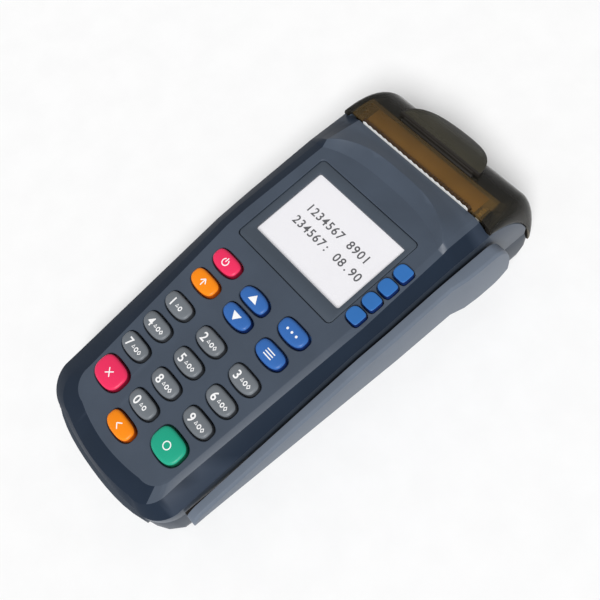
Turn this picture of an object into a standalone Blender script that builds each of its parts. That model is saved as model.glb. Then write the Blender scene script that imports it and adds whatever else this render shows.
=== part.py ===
"""A counter card payment terminal: keypad, screen, swipe rail, chip card slot and receipt printer.

Lengths are metres. Shapes are drawn in a working frame with x = 0 on the middle column of keys,
y = 0 on the row of keys 1 2 3 and z = 0 on the table, and +y runs to the rear. The empty at the
top of the tree moves that frame so that the origin is under the middle of the whole object.
"""

import math

import bmesh
import bpy
from mathutils import Matrix, Vector

PART_NAME = "card_payment_terminal"

# Fits
GAP = 0.0003                 # running gap between pieces that touch or seat
OVERRUN = 0.0020             # how far a cutter runs past what it cuts
SINK = 0.0006                # how far a fused feature is sunk into its wall

# Half width of the paper, which the printer and the case are built round
PAPER_HALF = 0.0285
CASE_MORE = 0.0117           # from the paper's edge out to the side wall

# Case face
FACE_UP = 0.0400             # height of the face at the first row of number keys
KEYPAD_SLOPE = math.radians(10.0)
SCREEN_SLOPE = math.radians(4.67)
BEND_Y = 0.0345              # where the keypad face meets the screen face
LEVEL_Y = 0.0840             # where the screen face turns level, under the brow
WALL = 0.0022
SEAM_UP = 0.0215             # lower edge of the top cover
FRONT_Y = -0.0576            # front wall, at its ends
FRONT_BOW = 0.0026           # how far its middle stands forward
FRONT_CORNER = 0.0130
LAST_ROW_Y = -0.0380         # last straight row before the front corners
SIDE_TAPER = 0.0020          # how much narrower each side is at the front
SIDE_REAR_HALF = PAPER_HALF + CASE_MORE
SIDE_FRONT_HALF = SIDE_REAR_HALF - SIDE_TAPER
SIDE_WIDE_Y = 0.0500         # where the case reaches its full width
SIDE_DROP = 0.0048           # how far the side wall's top lies below the face
FRONT_DROP = 0.0062          # the same at the front

# Rounded rim between the face and the side wall
RIDGE_FRONT_IN = 0.0066      # from the side wall in to the ridge
RIDGE_WIDE_IN = 0.0038
RIDGE_REAR_IN = 0.0052
RIDGE_FRONT_HALF = SIDE_FRONT_HALF - RIDGE_FRONT_IN
RIDGE_WIDE_HALF = SIDE_REAR_HALF - RIDGE_WIDE_IN
RIDGE_REAR_HALF = SIDE_REAR_HALF - RIDGE_REAR_IN
RIDGE_WIDE_Y = 0.0400
RIDGE_INSET = 0.0014         # how far the ridge stays behind the front wall
RIDGE_CORNER = 0.0110
RIDGE_DROP_RIGHT = 0.0008
RIDGE_DROP_LEFT = 0.0020
RIDGE_DROP_FRONT = 0.0034
RIM_WIDE = 0.0025            # from the ridge in to the crease, at the sides
RIM_LEFT_MORE = 0.0018       # the left rim is wider by this
RIM_FRONT = 0.0069           # from the ridge back to the crease, at the front
CREASE_CORNER = 0.0090

# Brow behind the screen
SLOT_Y = 0.1017              # front lip of the paper slot
BROW_RISE = 0.0035
CREST_MIDDLE_Y = 0.0948
CREST_SIDE_Y = 0.0854
FOOT_MIDDLE_Y = 0.0868
FOOT_SIDE_Y = 0.0820
BROW_FADE_X = 0.0270         # from here out the brow gets lower
BROW_FADE_SHARE = 0.75
BROW_BACK_SHARES = ((0.0, 0.0), (1 / 3, 1 / 3), (2 / 3, 2 / 3))
BROW_FRONT_SHARES = ((0.0, 1.0), (0.25, 0.85), (0.5, 0.5), (0.75, 0.15), (1.0, 0.0))
FACE_ROW_SHARES = (0.05, 0.13, 0.36, 0.68)
KEYPAD_ROW_SHARES = (0.0, 0.2, 0.41, 0.61, 0.82, 1.0)
CORNER_STEPS = 4
FACE_COLUMNS = 12

# Cheeks: the side walls that run down beside the lid on a quarter ellipse
CHEEK_Y = 0.0990
CHEEK_Z = 0.0092
CHEEK_LONG = 0.0285
CHEEK_TALL = 0.0365
CHEEK_GAP = 0.0004
CHEEK_ROW_SHARES = (0.895, 0.79, 0.65, 0.49, 0.30)

# Base
BASE_UP = 0.0012
BASE_REAR_Y = 0.1316
BASE_REAR_CORNER = 0.0070
BASE_REAR_UP = 0.0069        # top of the low wall under the lid
BASE_CHAMFER = 0.0030
BASE_CHAMFER_UP = 0.0022
BASE_FLAT_INSET = 0.0080
BASE_TUCK = 0.0010
BASE_TUCK_UP = 0.0046
BASE_LINE = 0.0002
LIP_HALF = 0.0296
LIP_OUT = 0.0018             # how far the card lip stands out of the front wall
LIP_DEEP = 0.0026
LIP_LOW = 0.0155
CARD_SLOT = 0.0015
CARD_SLOT_HALF = 0.0280

# Card reader for chip cards
READER_HALF = 0.0288
READER_SPACE = 0.0045        # from the block's rear to the battery well
READER_LOW = 0.0170
READER_TOP = 0.0227
CARD_HALF = 0.0273
CARD_ROOM = 0.0013
READER_BACK = 0.0060         # solid block behind a card pushed home

# Battery
BATTERY_HALF = 0.0280
BATTERY_LONG = 0.0580
BATTERY_TALL = 0.0180
BATTERY_ROUND = 0.0015
WELL_WALL = 0.0014
WELL_FRONT_Y = 0.0020
DOOR_THICK = 0.0018
DOOR_SIDE = 0.0020           # how far the door reaches past the battery each side
DOOR_TRAVEL = 0.0080
DOOR_GRIP_HALF = 0.0100
DOOR_GRIP = 0.0030
DOOR_GRIP_DEEP = 0.0007
SILL = 0.0020

# Feet and case screws
FOOT_HALF = 0.0260
FOOT_WIDE = 0.0060
FOOT_THICK = 0.0016
FOOT_ROUND = 0.0010
FOOT_FRONT_Y = -0.0460
FOOT_REAR_Y = 0.1120
SCREW_X = 0.0335
SCREW_FRONT_Y = -0.0400
SCREW_REAR_Y = 0.0758
POST_ROUND = 0.0030
BOSS_ROUND = 0.0024
HEAD_ROUND = 0.0021
HEAD_THICK = 0.0016
HEAD_SINK = 0.0034           # from the underside of the base up to the head
SHANK_ROUND = 0.0009
SHANK_LONG = 0.0225
THREAD_FIT = 0.0002
DRIVE_ROUND = 0.0010
DRIVE_DEEP = 0.0008

# Keys
KEYPAD_X = 0.0003            # middle column
KEYPAD_S = 0.0004            # first row, along the face
KEY_X = 0.0200               # column pitch
KEY_S = 0.0111               # row pitch, along the face
KEY_RISE = 0.0016
KEY_GAP = 0.0005
KEY_FLANGE = 0.0009
KEY_FLANGE_THICK = 0.0009
KEY_EDGE = 0.0005            # height of the rounded upper edge
KEY_CROWN_SHARE = 0.86
KEY_TRAVEL = 0.0010
KEY_SIDES = 16
NUMBER_HALF = 0.0068
NUMBER_REACH = 0.0038
ARROW_REACH = 0.0035
BIG_HALF = 0.0073
BIG_REACH = 0.0056
SOFT_X = 0.0313
SOFT_MIDDLE = 0.0215         # from the bend to the middle of the four
SOFT_S = 0.00765             # pitch of the soft keys
SOFT_HALF = 0.0033
SOFT_REACH = 0.0031

# Screen
SCREEN_MIDDLE_X = 0.0006
SCREEN_MIDDLE = 0.0239       # from the bend to the middle of the lit screen
SCREEN_HALF = 0.0236
SCREEN_REACH = 0.0163
BEZEL_SIDE = 0.0027          # from the lit screen out to the right edge of the recess
BEZEL_FRONT = 0.0068
BEZEL_REAR = 0.0052
RECESS_HALF = SCREEN_HALF + SCREEN_MIDDLE_X + BEZEL_SIDE
RECESS_FRONT = SCREEN_MIDDLE - SCREEN_REACH - BEZEL_FRONT
RECESS_LONG = BEZEL_FRONT + 2 * SCREEN_REACH + BEZEL_REAR
RECESS_CORNER = 0.0020
BEZEL_SINK = 0.0005
BEZEL_THICK = 0.0016
LENS_THICK = 0.0012
PANEL_THICK = 0.0020
PANEL_MORE = 0.0009          # how far the panel reaches past the lit screen
TRAY_LIP = 0.0008
SHELF_THICK = 0.0010
SHELF_HALF = 0.0037
SHELF_REACH = 0.0165

# Rubber mats and board
MAT_THICK = 0.0008
DOME_ROUND = 0.0021
DOME_TALL = 0.0005
DOME_TIP_SHARE = 0.7
STANDOFF_ROUND = 0.0014
STANDOFF_X = 0.0100
STANDOFF_FRONT_S = -0.0160
STANDOFF_REAR_S = 0.0075
CHIP_HALF = 0.0065
CHIP_THICK = 0.0014
CHIP_APART_SHARE = 0.6
CHIP_LESS_SHARE = 1 / 3
BOARD_HALF = 0.0290
BOARD_FRONT = -0.0490
BOARD_REAR = 0.0320
BOARD_THICK = 0.0016
SPEAKER_ROUND = 0.0080
SPEAKER_THICK = 0.0042
SPEAKER_X = -0.0170
SPEAKER_SPACE = 0.0056       # from the battery well back to the speaker
CONE_ROUND = 0.0052
CONE_DEEP = 0.0010

# Swipe rail
SLOT_WIDE = 0.0022
RAIL_THICK = 0.0040
RAIL_FRONT_Y = -0.0445
RAIL_REAR_Y = 0.1070
RAIL_LOW = 0.0225
RAIL_FLOOR = 0.0016
RAIL_LEVEL_Y = 0.0740
RAIL_TOP_EDGE = 0.0010
PADDLE_START_Y = 0.0780
PADDLE_OUT = 0.0012
PADDLE_DOWN = 0.0028
PADDLE_NOSE = 0.0090         # length of the rounded rear end
RAIL_ENTRY = 0.0050          # length of the rounded front end
NOSE_TALL_SHARE = 0.35

# Magnetic head
HEAD_Y = 0.0925
HEAD_Z = 0.0365
HEAD_LONG_HALF = 0.0042
HEAD_TALL_HALF = 0.0042
HEAD_OUT = 0.0007            # how far it stands into the slot
HEAD_DEEP = 0.0016
HEAD_TRAVEL = 0.0006
SPRING_THICK = 0.0004
POCKET_DEEP = HEAD_DEEP + HEAD_TRAVEL + SPRING_THICK + 2 * GAP
HEAD_STEPS = 3
HEAD_NOSE_SHARE = 0.99       # how much of the nose's arch is used

# Paper and printer
ROLL_Y = 0.1095
ROLL_Z = 0.0214
ROLL_ROUND = 0.0175
ROLL_BORE = 0.0060
TAIL_THICK = 0.00015
TAIL_UP = 0.0008             # how far the paper stands above the slot
TAIL_TOOTH = 0.0007
PLATEN_Y = 0.1062
PLATEN_Z = 0.0433
PLATEN_ROUND = 0.0040
SHAFT_ROUND = 0.0015
HEAD_PLATE_LESS = 0.0015     # how much narrower than the paper it is, each side
HEAD_PLATE_HALF = PAPER_HALF - HEAD_PLATE_LESS
HEAD_PLATE_THICK = 0.0017
HEAD_PLATE_LOW = 0.0378
HEAD_PLATE_TOP = 0.0452
HEAD_SHELF_LOW = 0.0385
HEAD_SHELF_THICK = 0.0020
FRAME_THICK = 0.0012
FRAME_LOW = 0.0038
FRAME_TOP = 0.0462
FRAME_STEP_Y = 0.1038        # behind here the side plates are low
FRAME_STEP_Z = 0.0405
FRAME_MOTOR_Y = 0.0765
FRAME_MOTOR_LOW = 0.0260
FRAME_REAR_Y = 0.1200
FRAME_REAR_TOP = 0.0300

# Gears
MODULE = 0.0006
SMALL_TEETH = 14
IDLER_TEETH = 28
GEAR_THICK = 0.0020
TIP_MORE = 0.0005
ROOT_LESS = 0.00075
TOOTH_SHARE = 0.38
TOOTH_FLARE_SHARE = 0.15
IDLER_ANGLE = math.radians(-144.4)    # from the platen to the idler, seen from +x
MOTOR_ANGLE = math.radians(-173.2)    # from the idler to the motor
AXLE_ROUND = 0.0012
AXLE_FIT = 0.0001
MOTOR_ROUND = 0.0060
MOTOR_LONG = 0.0148
MOTOR_SHAFT = 0.0008
MOTOR_SHAFT_LONG = 0.0020

# Lid
LID_WALL = 0.0020
LID_FRONT_Y = 0.1024
LID_CROWN_Y = 0.1075
LID_CROWN_Z = 0.05085
LID_NOSE_DROP = 0.00065
LID_REAR_Y = 0.1324
LID_WAIST_Z = 0.0180
LID_LOW_Z = 0.0105
LID_TUCK = 0.00045
LID_CURVE_POWER = 2.25
LID_CURVE_STEPS = 12
LID_TURN_STEPS = 4
LID_TURN_SHARE = 0.86
LID_TURN_FRONT = 0.0050
LID_TURN_REAR = 0.0090
LID_COLUMN_SHARES = (0.62, 0.0)
LID_EAR_MORE = 0.0058        # this far out from the paper's edge the lid stops above the hinge
LID_EAR_X = PAPER_HALF + LID_EAR_MORE
LID_EAR_Z = 0.0132
HINGE_Y = 0.1278
HINGE_Z = 0.0120
HINGE_ROUND = 0.0022
HINGE_PIN = 0.0009
HINGE_FIT = 0.0001
HINGE_MORE = 0.0017          # how far the barrel reaches past the paper
HINGE_HALF = PAPER_HALF + HINGE_MORE
LUG_ROUND = 0.0019
LUG_THICK = 0.0035
LUG_BACK = 0.0026
LUG_LONG = 0.0070
PLATEN_LUG_MORE = 0.0047     # from the paper's edge out to the lug
PLATEN_LUG_X = PAPER_HALF + PLATEN_LUG_MORE
PLATEN_LUG_THICK = 0.0018
PLATEN_LUG_ROUND = 0.0024

# Tear bar
TEAR_MORE = 0.0005           # how far the teeth reach past the paper
TEAR_HALF = PAPER_HALF + TEAR_MORE
TEAR_THICK = 0.0008
TEAR_LOW = 0.0470
TEAR_TOP = 0.0512
TEAR_TOOTH = 0.0009
TEAR_COUNT = 40

# Lid lever
LEVER_Y = 0.1142             # its hinge
LEVER_LIFT = 0.00025
LEVER_TIP_LIFT = 0.0026      # how much further its tip stands off the lid
LEVER_THICK = 0.0014
LEVER_HALF = 0.0210
LEVER_LONG = 0.0133
LEVER_CHORD = 0.0006
LEVER_STEPS = 9
LEVER_SHORT = 0.5            # how far the last step stays from the middle line, in steps
LEVER_BARREL = 0.0010
LEVER_BARREL_HALF = 0.0190
LEVER_PIN = 0.00045
LEVER_PIN_HALF = 0.0215
LEVER_WEB = 0.0013
LEVER_SLOT_FRONT = 0.0013
LEVER_SLOT_REAR = 0.0046
FINGER_X = 0.0140
FINGER_HALF = 0.0012
FINGER_NEAR = 0.0010
FINGER_FAR = 0.0024
FINGER_LONG = 0.0052

# Facets of the round pieces
FINE_SIDES = 32
MID_SIDES = 20
SMALL_SIDES = 12


# Scene, frames and materials

for leftover in list(bpy.data.objects):
    bpy.data.objects.remove(leftover, do_unlink=True)


def new_collection(name):
    """A collection linked to the scene."""
    made = bpy.data.collections.new(name)
    bpy.context.scene.collection.children.link(made)
    return made


PARTS = new_collection(PART_NAME)
TOOLS = new_collection("cutters")


def new_empty(name, parent=None, location=(0, 0, 0), tilt=0):
    """An empty that carries pieces in its own frame, turned about x."""
    made = bpy.data.objects.new(name, None)
    made.parent = parent
    made.location = location
    made.rotation_euler = (tilt, 0, 0)
    PARTS.objects.link(made)
    return made


def face_height(y):
    """Height of the keypad and screen face, without the brow."""
    keypad = FACE_UP + min(y, BEND_Y) * math.tan(KEYPAD_SLOPE)
    screen = min(max(y, BEND_Y), LEVEL_Y) - BEND_Y
    return keypad + screen * math.tan(SCREEN_SLOPE)


def side_half(y):
    """Half width of the side walls: a straight taper to the front, then parallel."""
    share = (y - LAST_ROW_Y) / (SIDE_WIDE_Y - LAST_ROW_Y)
    share = min(max(share, 0), 1)
    return SIDE_FRONT_HALF + (SIDE_REAR_HALF - SIDE_FRONT_HALF) * share


RAIL_OUT = SIDE_REAR_HALF + SLOT_WIDE + RAIL_THICK + PADDLE_OUT
CENTRE_X = (RAIL_OUT - SIDE_REAR_HALF) / 2
CENTRE_Y = (FRONT_Y - FRONT_BOW - LIP_OUT + LID_REAR_Y) / 2

ROOT = new_empty("frame", None, (-CENTRE_X, -CENTRE_Y, 0))
KEYPAD = new_empty("keypad_frame", ROOT, (0, 0, FACE_UP), KEYPAD_SLOPE)
SCREEN = new_empty("screen_frame", ROOT, (0, BEND_Y, face_height(BEND_Y)), SCREEN_SLOPE)


def finish(obj, colour, roughness, metallic=0.0, alpha=1.0):
    """Give an object its own Principled material."""
    made = bpy.data.materials.new(obj.name)
    made.use_nodes = True
    shader = made.node_tree.nodes["Principled BSDF"]
    shader.inputs["Base Color"].default_value = (*colour, 1.0)
    shader.inputs["Roughness"].default_value = roughness
    shader.inputs["Metallic"].default_value = metallic
    shader.inputs["Alpha"].default_value = alpha
    made.diffuse_color = (*colour, alpha)
    obj.data.materials.clear()
    obj.data.materials.append(made)


# Solids and tools


def new_solid(name, bm, parent=None, turned=False):
    """A mesh object; it starts as a tool, and keep() makes it a piece."""
    if not turned:
        bmesh.ops.recalc_face_normals(bm, faces=bm.faces)
    mesh = bpy.data.meshes.new(name)
    bm.to_mesh(mesh)
    bm.free()
    made = bpy.data.objects.new(name, mesh)
    made.parent = parent or ROOT
    made.hide_render = True
    made.display_type = "WIRE"
    TOOLS.objects.link(made)
    return made


def keep(obj, name, colour, roughness, metallic=0.0, alpha=1.0, smooth=False):
    """Turn a tool into a piece of the product."""
    TOOLS.objects.unlink(obj)
    PARTS.objects.link(obj)
    obj.name = name
    obj.data.name = name
    obj.hide_render = False
    obj.display_type = "TEXTURED"
    if smooth:
        obj.data.shade_smooth()
        obj.data.set_sharp_from_angle(angle=math.radians(35))
    finish(obj, colour, roughness, metallic, alpha)
    return obj


def cut(obj, *tools):
    """Take each tool out of the object."""
    for tool in tools:
        modifier = obj.modifiers.new("cut", "BOOLEAN")
        modifier.operation = "DIFFERENCE"
        modifier.solver = "EXACT"
        modifier.object = tool
    return obj


def fuse(obj, *tools):
    """Join each tool to the object."""
    for tool in tools:
        modifier = obj.modifiers.new("fuse", "BOOLEAN")
        modifier.operation = "UNION"
        modifier.solver = "EXACT"
        modifier.object = tool
    return obj


def round_edges(obj, width, segments=2):
    """Round an object's sharp edges."""
    modifier = obj.modifiers.new("round", "BEVEL")
    modifier.width = width
    modifier.segments = segments
    modifier.limit_method = "ANGLE"
    return obj


def box(low, high, parent=None):
    """A box between two corners."""
    bm = bmesh.new()
    size = [b - a for a, b in zip(low, high)]
    middle = [(a + b) / 2 for a, b in zip(low, high)]
    place = Matrix.Translation(middle) @ Matrix.Diagonal((*size, 1))
    bmesh.ops.create_cube(bm, size=1, matrix=place)
    return new_solid("box", bm, parent)


AXIS_TURN = {
    "x": Matrix.Rotation(math.pi / 2, 4, "Y"),
    "y": Matrix.Rotation(-math.pi / 2, 4, "X"),
    "z": Matrix.Identity(4),
}


def rod(axis, radius, low, high, across=(0, 0), sides=MID_SIDES, parent=None, end_radius=None):
    """A cylinder or cone along an axis; across gives its place on the other two axes, in order."""
    bm = bmesh.new()
    middle = list(across)
    middle.insert("xyz".index(axis), (low + high) / 2)
    place = Matrix.Translation(middle) @ AXIS_TURN[axis]
    bmesh.ops.create_cone(
        bm,
        cap_ends=True,
        segments=sides,
        radius1=radius,
        radius2=end_radius or radius,
        depth=high - low,
        matrix=place,
    )
    return new_solid("rod", bm, parent)


PLANE_TURN = {
    "XY": Matrix.Identity(4),
    "YZ": Matrix(((0, 0, 1, 0), (1, 0, 0, 0), (0, 1, 0, 0), (0, 0, 0, 1))),
    "ZX": Matrix(((0, 1, 0, 0), (0, 0, 1, 0), (1, 0, 0, 0), (0, 0, 0, 1))),
}


def slab(plane, outlines, low, high, parent=None):
    """Flat outlines in a plane, pushed from one level to another along the third axis."""
    curve = bpy.data.curves.new("outline", "CURVE")
    curve.dimensions = "2D"
    curve.fill_mode = "BOTH"
    curve.extrude = (high - low) / 2
    for outline in outlines:
        spline = curve.splines.new("POLY")
        spline.points.add(len(outline) - 1)
        spline.use_cyclic_u = True
        for point, (u, v) in zip(spline.points, outline):
            point.co = (u, v, 0, 1)
    guide = bpy.data.objects.new("outline", curve)
    TOOLS.objects.link(guide)
    read = guide.evaluated_get(bpy.context.evaluated_depsgraph_get())
    mesh = bpy.data.meshes.new_from_object(read)
    bpy.data.objects.remove(guide, do_unlink=True)
    bm = bmesh.new()
    bm.from_mesh(mesh)
    bpy.data.meshes.remove(mesh)
    bmesh.ops.remove_doubles(bm, verts=bm.verts, dist=GAP / FINE_SIDES)
    lift = Matrix.Translation((0, 0, (low + high) / 2))
    bmesh.ops.transform(bm, matrix=PLANE_TURN[plane] @ lift, verts=bm.verts)
    return new_solid("slab", bm, parent)


def add_strip(bm, lower, upper, closed=False):
    """Faces between two rows of vertices."""
    pairs = list(zip(lower, upper))
    if closed:
        pairs.append(pairs[0])
    for (a, b), (c, d) in zip(pairs, pairs[1:]):
        bm.faces.new((a, b, d, c))


def loft(rings, parent=None):
    """A closed solid through rings of points of equal count, with flat ends."""
    bm = bmesh.new()
    rows = [[bm.verts.new(point) for point in ring] for ring in rings]
    for lower, upper in zip(rows, rows[1:]):
        add_strip(bm, lower, upper, closed=True)
    bm.faces.new(rows[0])
    bm.faces.new(rows[-1])
    return new_solid("loft", bm, parent)


def joined(tools, parent=None):
    """One mesh of several tools that lie apart, to cut with in one step."""
    bm = bmesh.new()
    for tool in tools:
        bm.from_mesh(tool.data)
        bpy.data.objects.remove(tool, do_unlink=True)
    return new_solid("tools", bm, parent)


def set_axis(obj, point):
    """Move an object's origin onto its joint's axis, with the shape left where it is."""
    obj.data.transform(Matrix.Translation(-Vector(point)))
    obj.location = point
    return obj


def rounded_rectangle(middle, half, corner, steps=3):
    """An outline with four round corners."""
    outline = []
    for quarter in range(4):
        sx = 1 if quarter in (0, 3) else -1
        sy = 1 if quarter in (0, 1) else -1
        for step in range(steps + 1):
            angle = (quarter + step / steps) * math.pi / 2
            u = middle[0] + sx * (half[0] - corner) + corner * math.cos(angle)
            v = middle[1] + sy * (half[1] - corner) + corner * math.sin(angle)
            outline.append((u, v))
    return outline


def circle(middle, radius, sides=MID_SIDES, start=0):
    """A regular outline round a point."""
    outline = []
    for index in range(sides):
        angle = start + index * math.tau / sides
        outline.append((middle[0] + radius * math.cos(angle), middle[1] + radius * math.sin(angle)))
    return outline


# Lines round the case


def ridge_half(y):
    """Half width of the ridge along the face."""
    if y < RIDGE_WIDE_Y:
        share = max((y - LAST_ROW_Y) / (RIDGE_WIDE_Y - LAST_ROW_Y), 0)
        return RIDGE_FRONT_HALF + (RIDGE_WIDE_HALF - RIDGE_FRONT_HALF) * share
    share = min((y - RIDGE_WIDE_Y) / (SLOT_Y - RIDGE_WIDE_Y), 1)
    return RIDGE_WIDE_HALF + (RIDGE_REAR_HALF - RIDGE_WIDE_HALF) * share


class Line:
    """A U shaped line round the case: down the right side, round the front, up the left side."""

    def __init__(self, half, front, corner, right_drop, left_drop, front_drop, level=None):
        self.half = half
        self.front = front
        self.corner = corner
        self.side_drop = {1: right_drop, -1: left_drop}
        self.front_drop = front_drop
        self.level = level

    def point(self, x, y, side, turned):
        """A point at its height; turned runs from 0 at the side to 1 at the front."""
        if self.level is not None:
            return Vector((x, y, self.level))
        weight = math.sin(turned * math.pi / 2) ** 2
        drop = self.side_drop[side] + (self.front_drop - self.side_drop[side]) * weight
        return Vector((x, y, face_height(y) - drop))

    def at_side(self, y, side):
        return self.point(side * self.half(y, side), y, side, 0)

    def at_corner(self, share, side):
        angle = share * math.pi / 2
        half = self.half(LAST_ROW_Y, side) - self.corner + self.corner * math.cos(angle)
        y = self.front + self.corner - self.corner * math.sin(angle)
        return self.point(side * half, y, side, share)

    def at_front(self, share):
        side = 1 if share > 0 else -1
        half = self.half(LAST_ROW_Y, side) - self.corner
        y = self.front - FRONT_BOW * (1 - share * share)
        return self.point(share * half, y, side, 1)

    def around(self, rows):
        """All points, with the rows from rear to front."""
        corners = [step / CORNER_STEPS for step in range(1, CORNER_STEPS + 1)]
        columns = [1 - 2 * step / FACE_COLUMNS for step in range(1, FACE_COLUMNS)]
        line = [self.at_side(y, 1) for y in rows]
        line += [self.at_corner(share, 1) for share in corners]
        line += [self.at_front(share) for share in columns]
        line += [self.at_corner(share, -1) for share in reversed(corners)]
        line += [self.at_side(y, -1) for y in reversed(rows)]
        return line


def wall_half(y, side):
    """Half width of the side wall."""
    return side_half(y)


def rim_half(y, side):
    """Half width of the ridge."""
    return ridge_half(y)


def crease_half(y, side):
    """Half width of the crease between face and rim."""
    return ridge_half(y) - RIM_WIDE - (RIM_LEFT_MORE if side < 0 else 0)


RIDGE_FRONT = FRONT_Y + RIDGE_INSET
SEAM = Line(wall_half, FRONT_Y, FRONT_CORNER, 0, 0, 0, SEAM_UP)
SHOULDER = Line(wall_half, FRONT_Y, FRONT_CORNER, SIDE_DROP, SIDE_DROP, FRONT_DROP)
RIDGE = Line(
    rim_half, RIDGE_FRONT, RIDGE_CORNER, RIDGE_DROP_RIGHT, RIDGE_DROP_LEFT, RIDGE_DROP_FRONT
)
CREASE = Line(crease_half, RIDGE_FRONT + RIM_FRONT, CREASE_CORNER, 0, 0, 0)


def between(start, end, share):
    """A value part way from one to another."""
    return start + (end - start) * share


def face_rows():
    """Each straight row across the face: its y at the middle, its y at the sides, its brow share."""
    rows = []
    for back, rise in BROW_BACK_SHARES:
        middle = between(SLOT_Y, CREST_MIDDLE_Y, back)
        rows.append((middle, between(SLOT_Y, CREST_SIDE_Y, back), rise))
    for front, rise in BROW_FRONT_SHARES:
        middle = between(CREST_MIDDLE_Y, FOOT_MIDDLE_Y, front)
        rows.append((middle, between(CREST_SIDE_Y, FOOT_SIDE_Y, front), rise))
    for share in FACE_ROW_SHARES:
        rows.append((between(FOOT_MIDDLE_Y, BEND_Y, share), between(FOOT_SIDE_Y, BEND_Y, share), 0))
    for share in KEYPAD_ROW_SHARES:
        y = between(BEND_Y, LAST_ROW_Y, share)
        rows.append((y, y, 0))
    return rows


def brow_fade(x):
    """The brow's share of its full rise, lower toward the sides."""
    share = (abs(x) - BROW_FADE_X) / (RIDGE_WIDE_HALF - BROW_FADE_X)
    share = min(max(share, 0), 1)
    return 1 - BROW_FADE_SHARE * share * share * (3 - 2 * share)


def face_points():
    """The face as rows of points from left to right, from the paper slot round to the front edge."""
    grid = []
    for middle, side_y, rise in face_rows():
        left = CREASE.at_side(side_y, -1)
        right = CREASE.at_side(side_y, 1)
        row = []
        for step in range(FACE_COLUMNS + 1):
            x = between(left.x, right.x, step / FACE_COLUMNS)
            out = abs(2 * step / FACE_COLUMNS - 1)
            y = side_y + (middle - side_y) * (1 - out**3)
            height = face_height(y) + BROW_RISE * rise * brow_fade(x)
            row.append(Vector((x, y, height)))
        grid.append(row)
    for step in range(1, CORNER_STEPS + 1):
        share = step / CORNER_STEPS
        left = CREASE.at_corner(share, -1)
        right = CREASE.at_corner(share, 1)
        row = []
        for column in range(FACE_COLUMNS + 1):
            across = 2 * column / FACE_COLUMNS - 1
            half = right.x if across > 0 else -left.x
            y = right.y - FRONT_BOW * share * (1 - across * across)
            row.append(Vector((across * half, y, face_height(y))))
        grid.append(row)
    return grid


def cheek_height(y):
    """Height of the cheek's curved top edge."""
    out = min(abs(y - CHEEK_Y) / CHEEK_LONG, 1)
    return CHEEK_Z + CHEEK_TALL * math.sqrt(1 - out * out)


def cover_surface():
    """The top cover's outer surface, open below and at the paper slot."""
    bm = bmesh.new()
    grid = [[bm.verts.new(point) for point in row] for row in face_points()]
    for rear, front in zip(grid, grid[1:]):
        for step in range(FACE_COLUMNS):
            bm.faces.new((front[step], front[step + 1], rear[step + 1], rear[step]))
    crease = [row[-1] for row in grid] + grid[-1][-2:0:-1] + [row[0] for row in reversed(grid)]
    rows = [row[1] for row in face_rows()]
    lines = []
    for line in (RIDGE, SHOULDER, SEAM):
        lines.append([bm.verts.new(point) for point in line.around(rows)])
    lift = BROW_RISE * (1 - BROW_FADE_SHARE)
    for row, right, left in zip(face_rows(), lines[0], reversed(lines[0])):
        right.co.z += row[2] * lift
        left.co.z += row[2] * lift
    add_strip(bm, lines[0], crease)
    add_strip(bm, lines[1], lines[0])
    add_strip(bm, lines[2], lines[1])
    for side in (1, -1):
        top = [lines[1][0] if side > 0 else lines[1][-1]]
        foot = [lines[2][0] if side > 0 else lines[2][-1]]
        for share in reversed(CHEEK_ROW_SHARES):
            y = CHEEK_Y + CHEEK_LONG * share
            x = side * side_half(y)
            top.append(bm.verts.new((x, y, cheek_height(y))))
            foot.append(bm.verts.new((x, y, SEAM_UP)))
        if side > 0:
            add_strip(bm, top, foot)
        else:
            add_strip(bm, foot, top)
    return bm


def solidify(bm, name, thickness):
    """A shell of even thickness on the inner side of an open surface."""
    made = new_solid(name, bm, turned=True)
    modifier = made.modifiers.new("wall", "SOLIDIFY")
    modifier.thickness = thickness
    modifier.offset = -1
    return made


SCREW_PLACES = [(x, y) for y in (SCREW_FRONT_Y, SCREW_REAR_Y) for x in (-SCREW_X, SCREW_X)]


def make_top_cover(holes):
    """The upper shell, with screw bosses and every hole in its face."""
    cover = solidify(cover_surface(), "cover", WALL)
    for x, y in SCREW_PLACES:
        # The boss ends inside the wall, which slopes down between crease, ridge and shoulder.
        slope = (side_half(y) - abs(x) - BOSS_ROUND) / (side_half(y) - ridge_half(y))
        drop = max(RIDGE_DROP_LEFT, SIDE_DROP * (1 - min(slope, 1)))
        top = face_height(y - BOSS_ROUND) - drop - WALL / 2
        fuse(cover, rod("z", BOSS_ROUND, SEAM_UP, top, (x, y), SMALL_SIDES))
        cut(cover, rod("z", SHANK_ROUND + THREAD_FIT, 0, top - WALL, (x, y), SMALL_SIDES))
    for x in (-STANDOFF_X, STANDOFF_X):
        for s in (STANDOFF_FRONT_S, STANDOFF_REAR_S):
            fuse(cover, rod("z", STANDOFF_ROUND, MAT_TOP + GAP, SINK - WALL, (x, s), 8, KEYPAD))
    cut(cover, *holes)
    return keep(cover, "top_cover", (0.10, 0.12, 0.14), 0.45)


# Base cover


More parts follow.
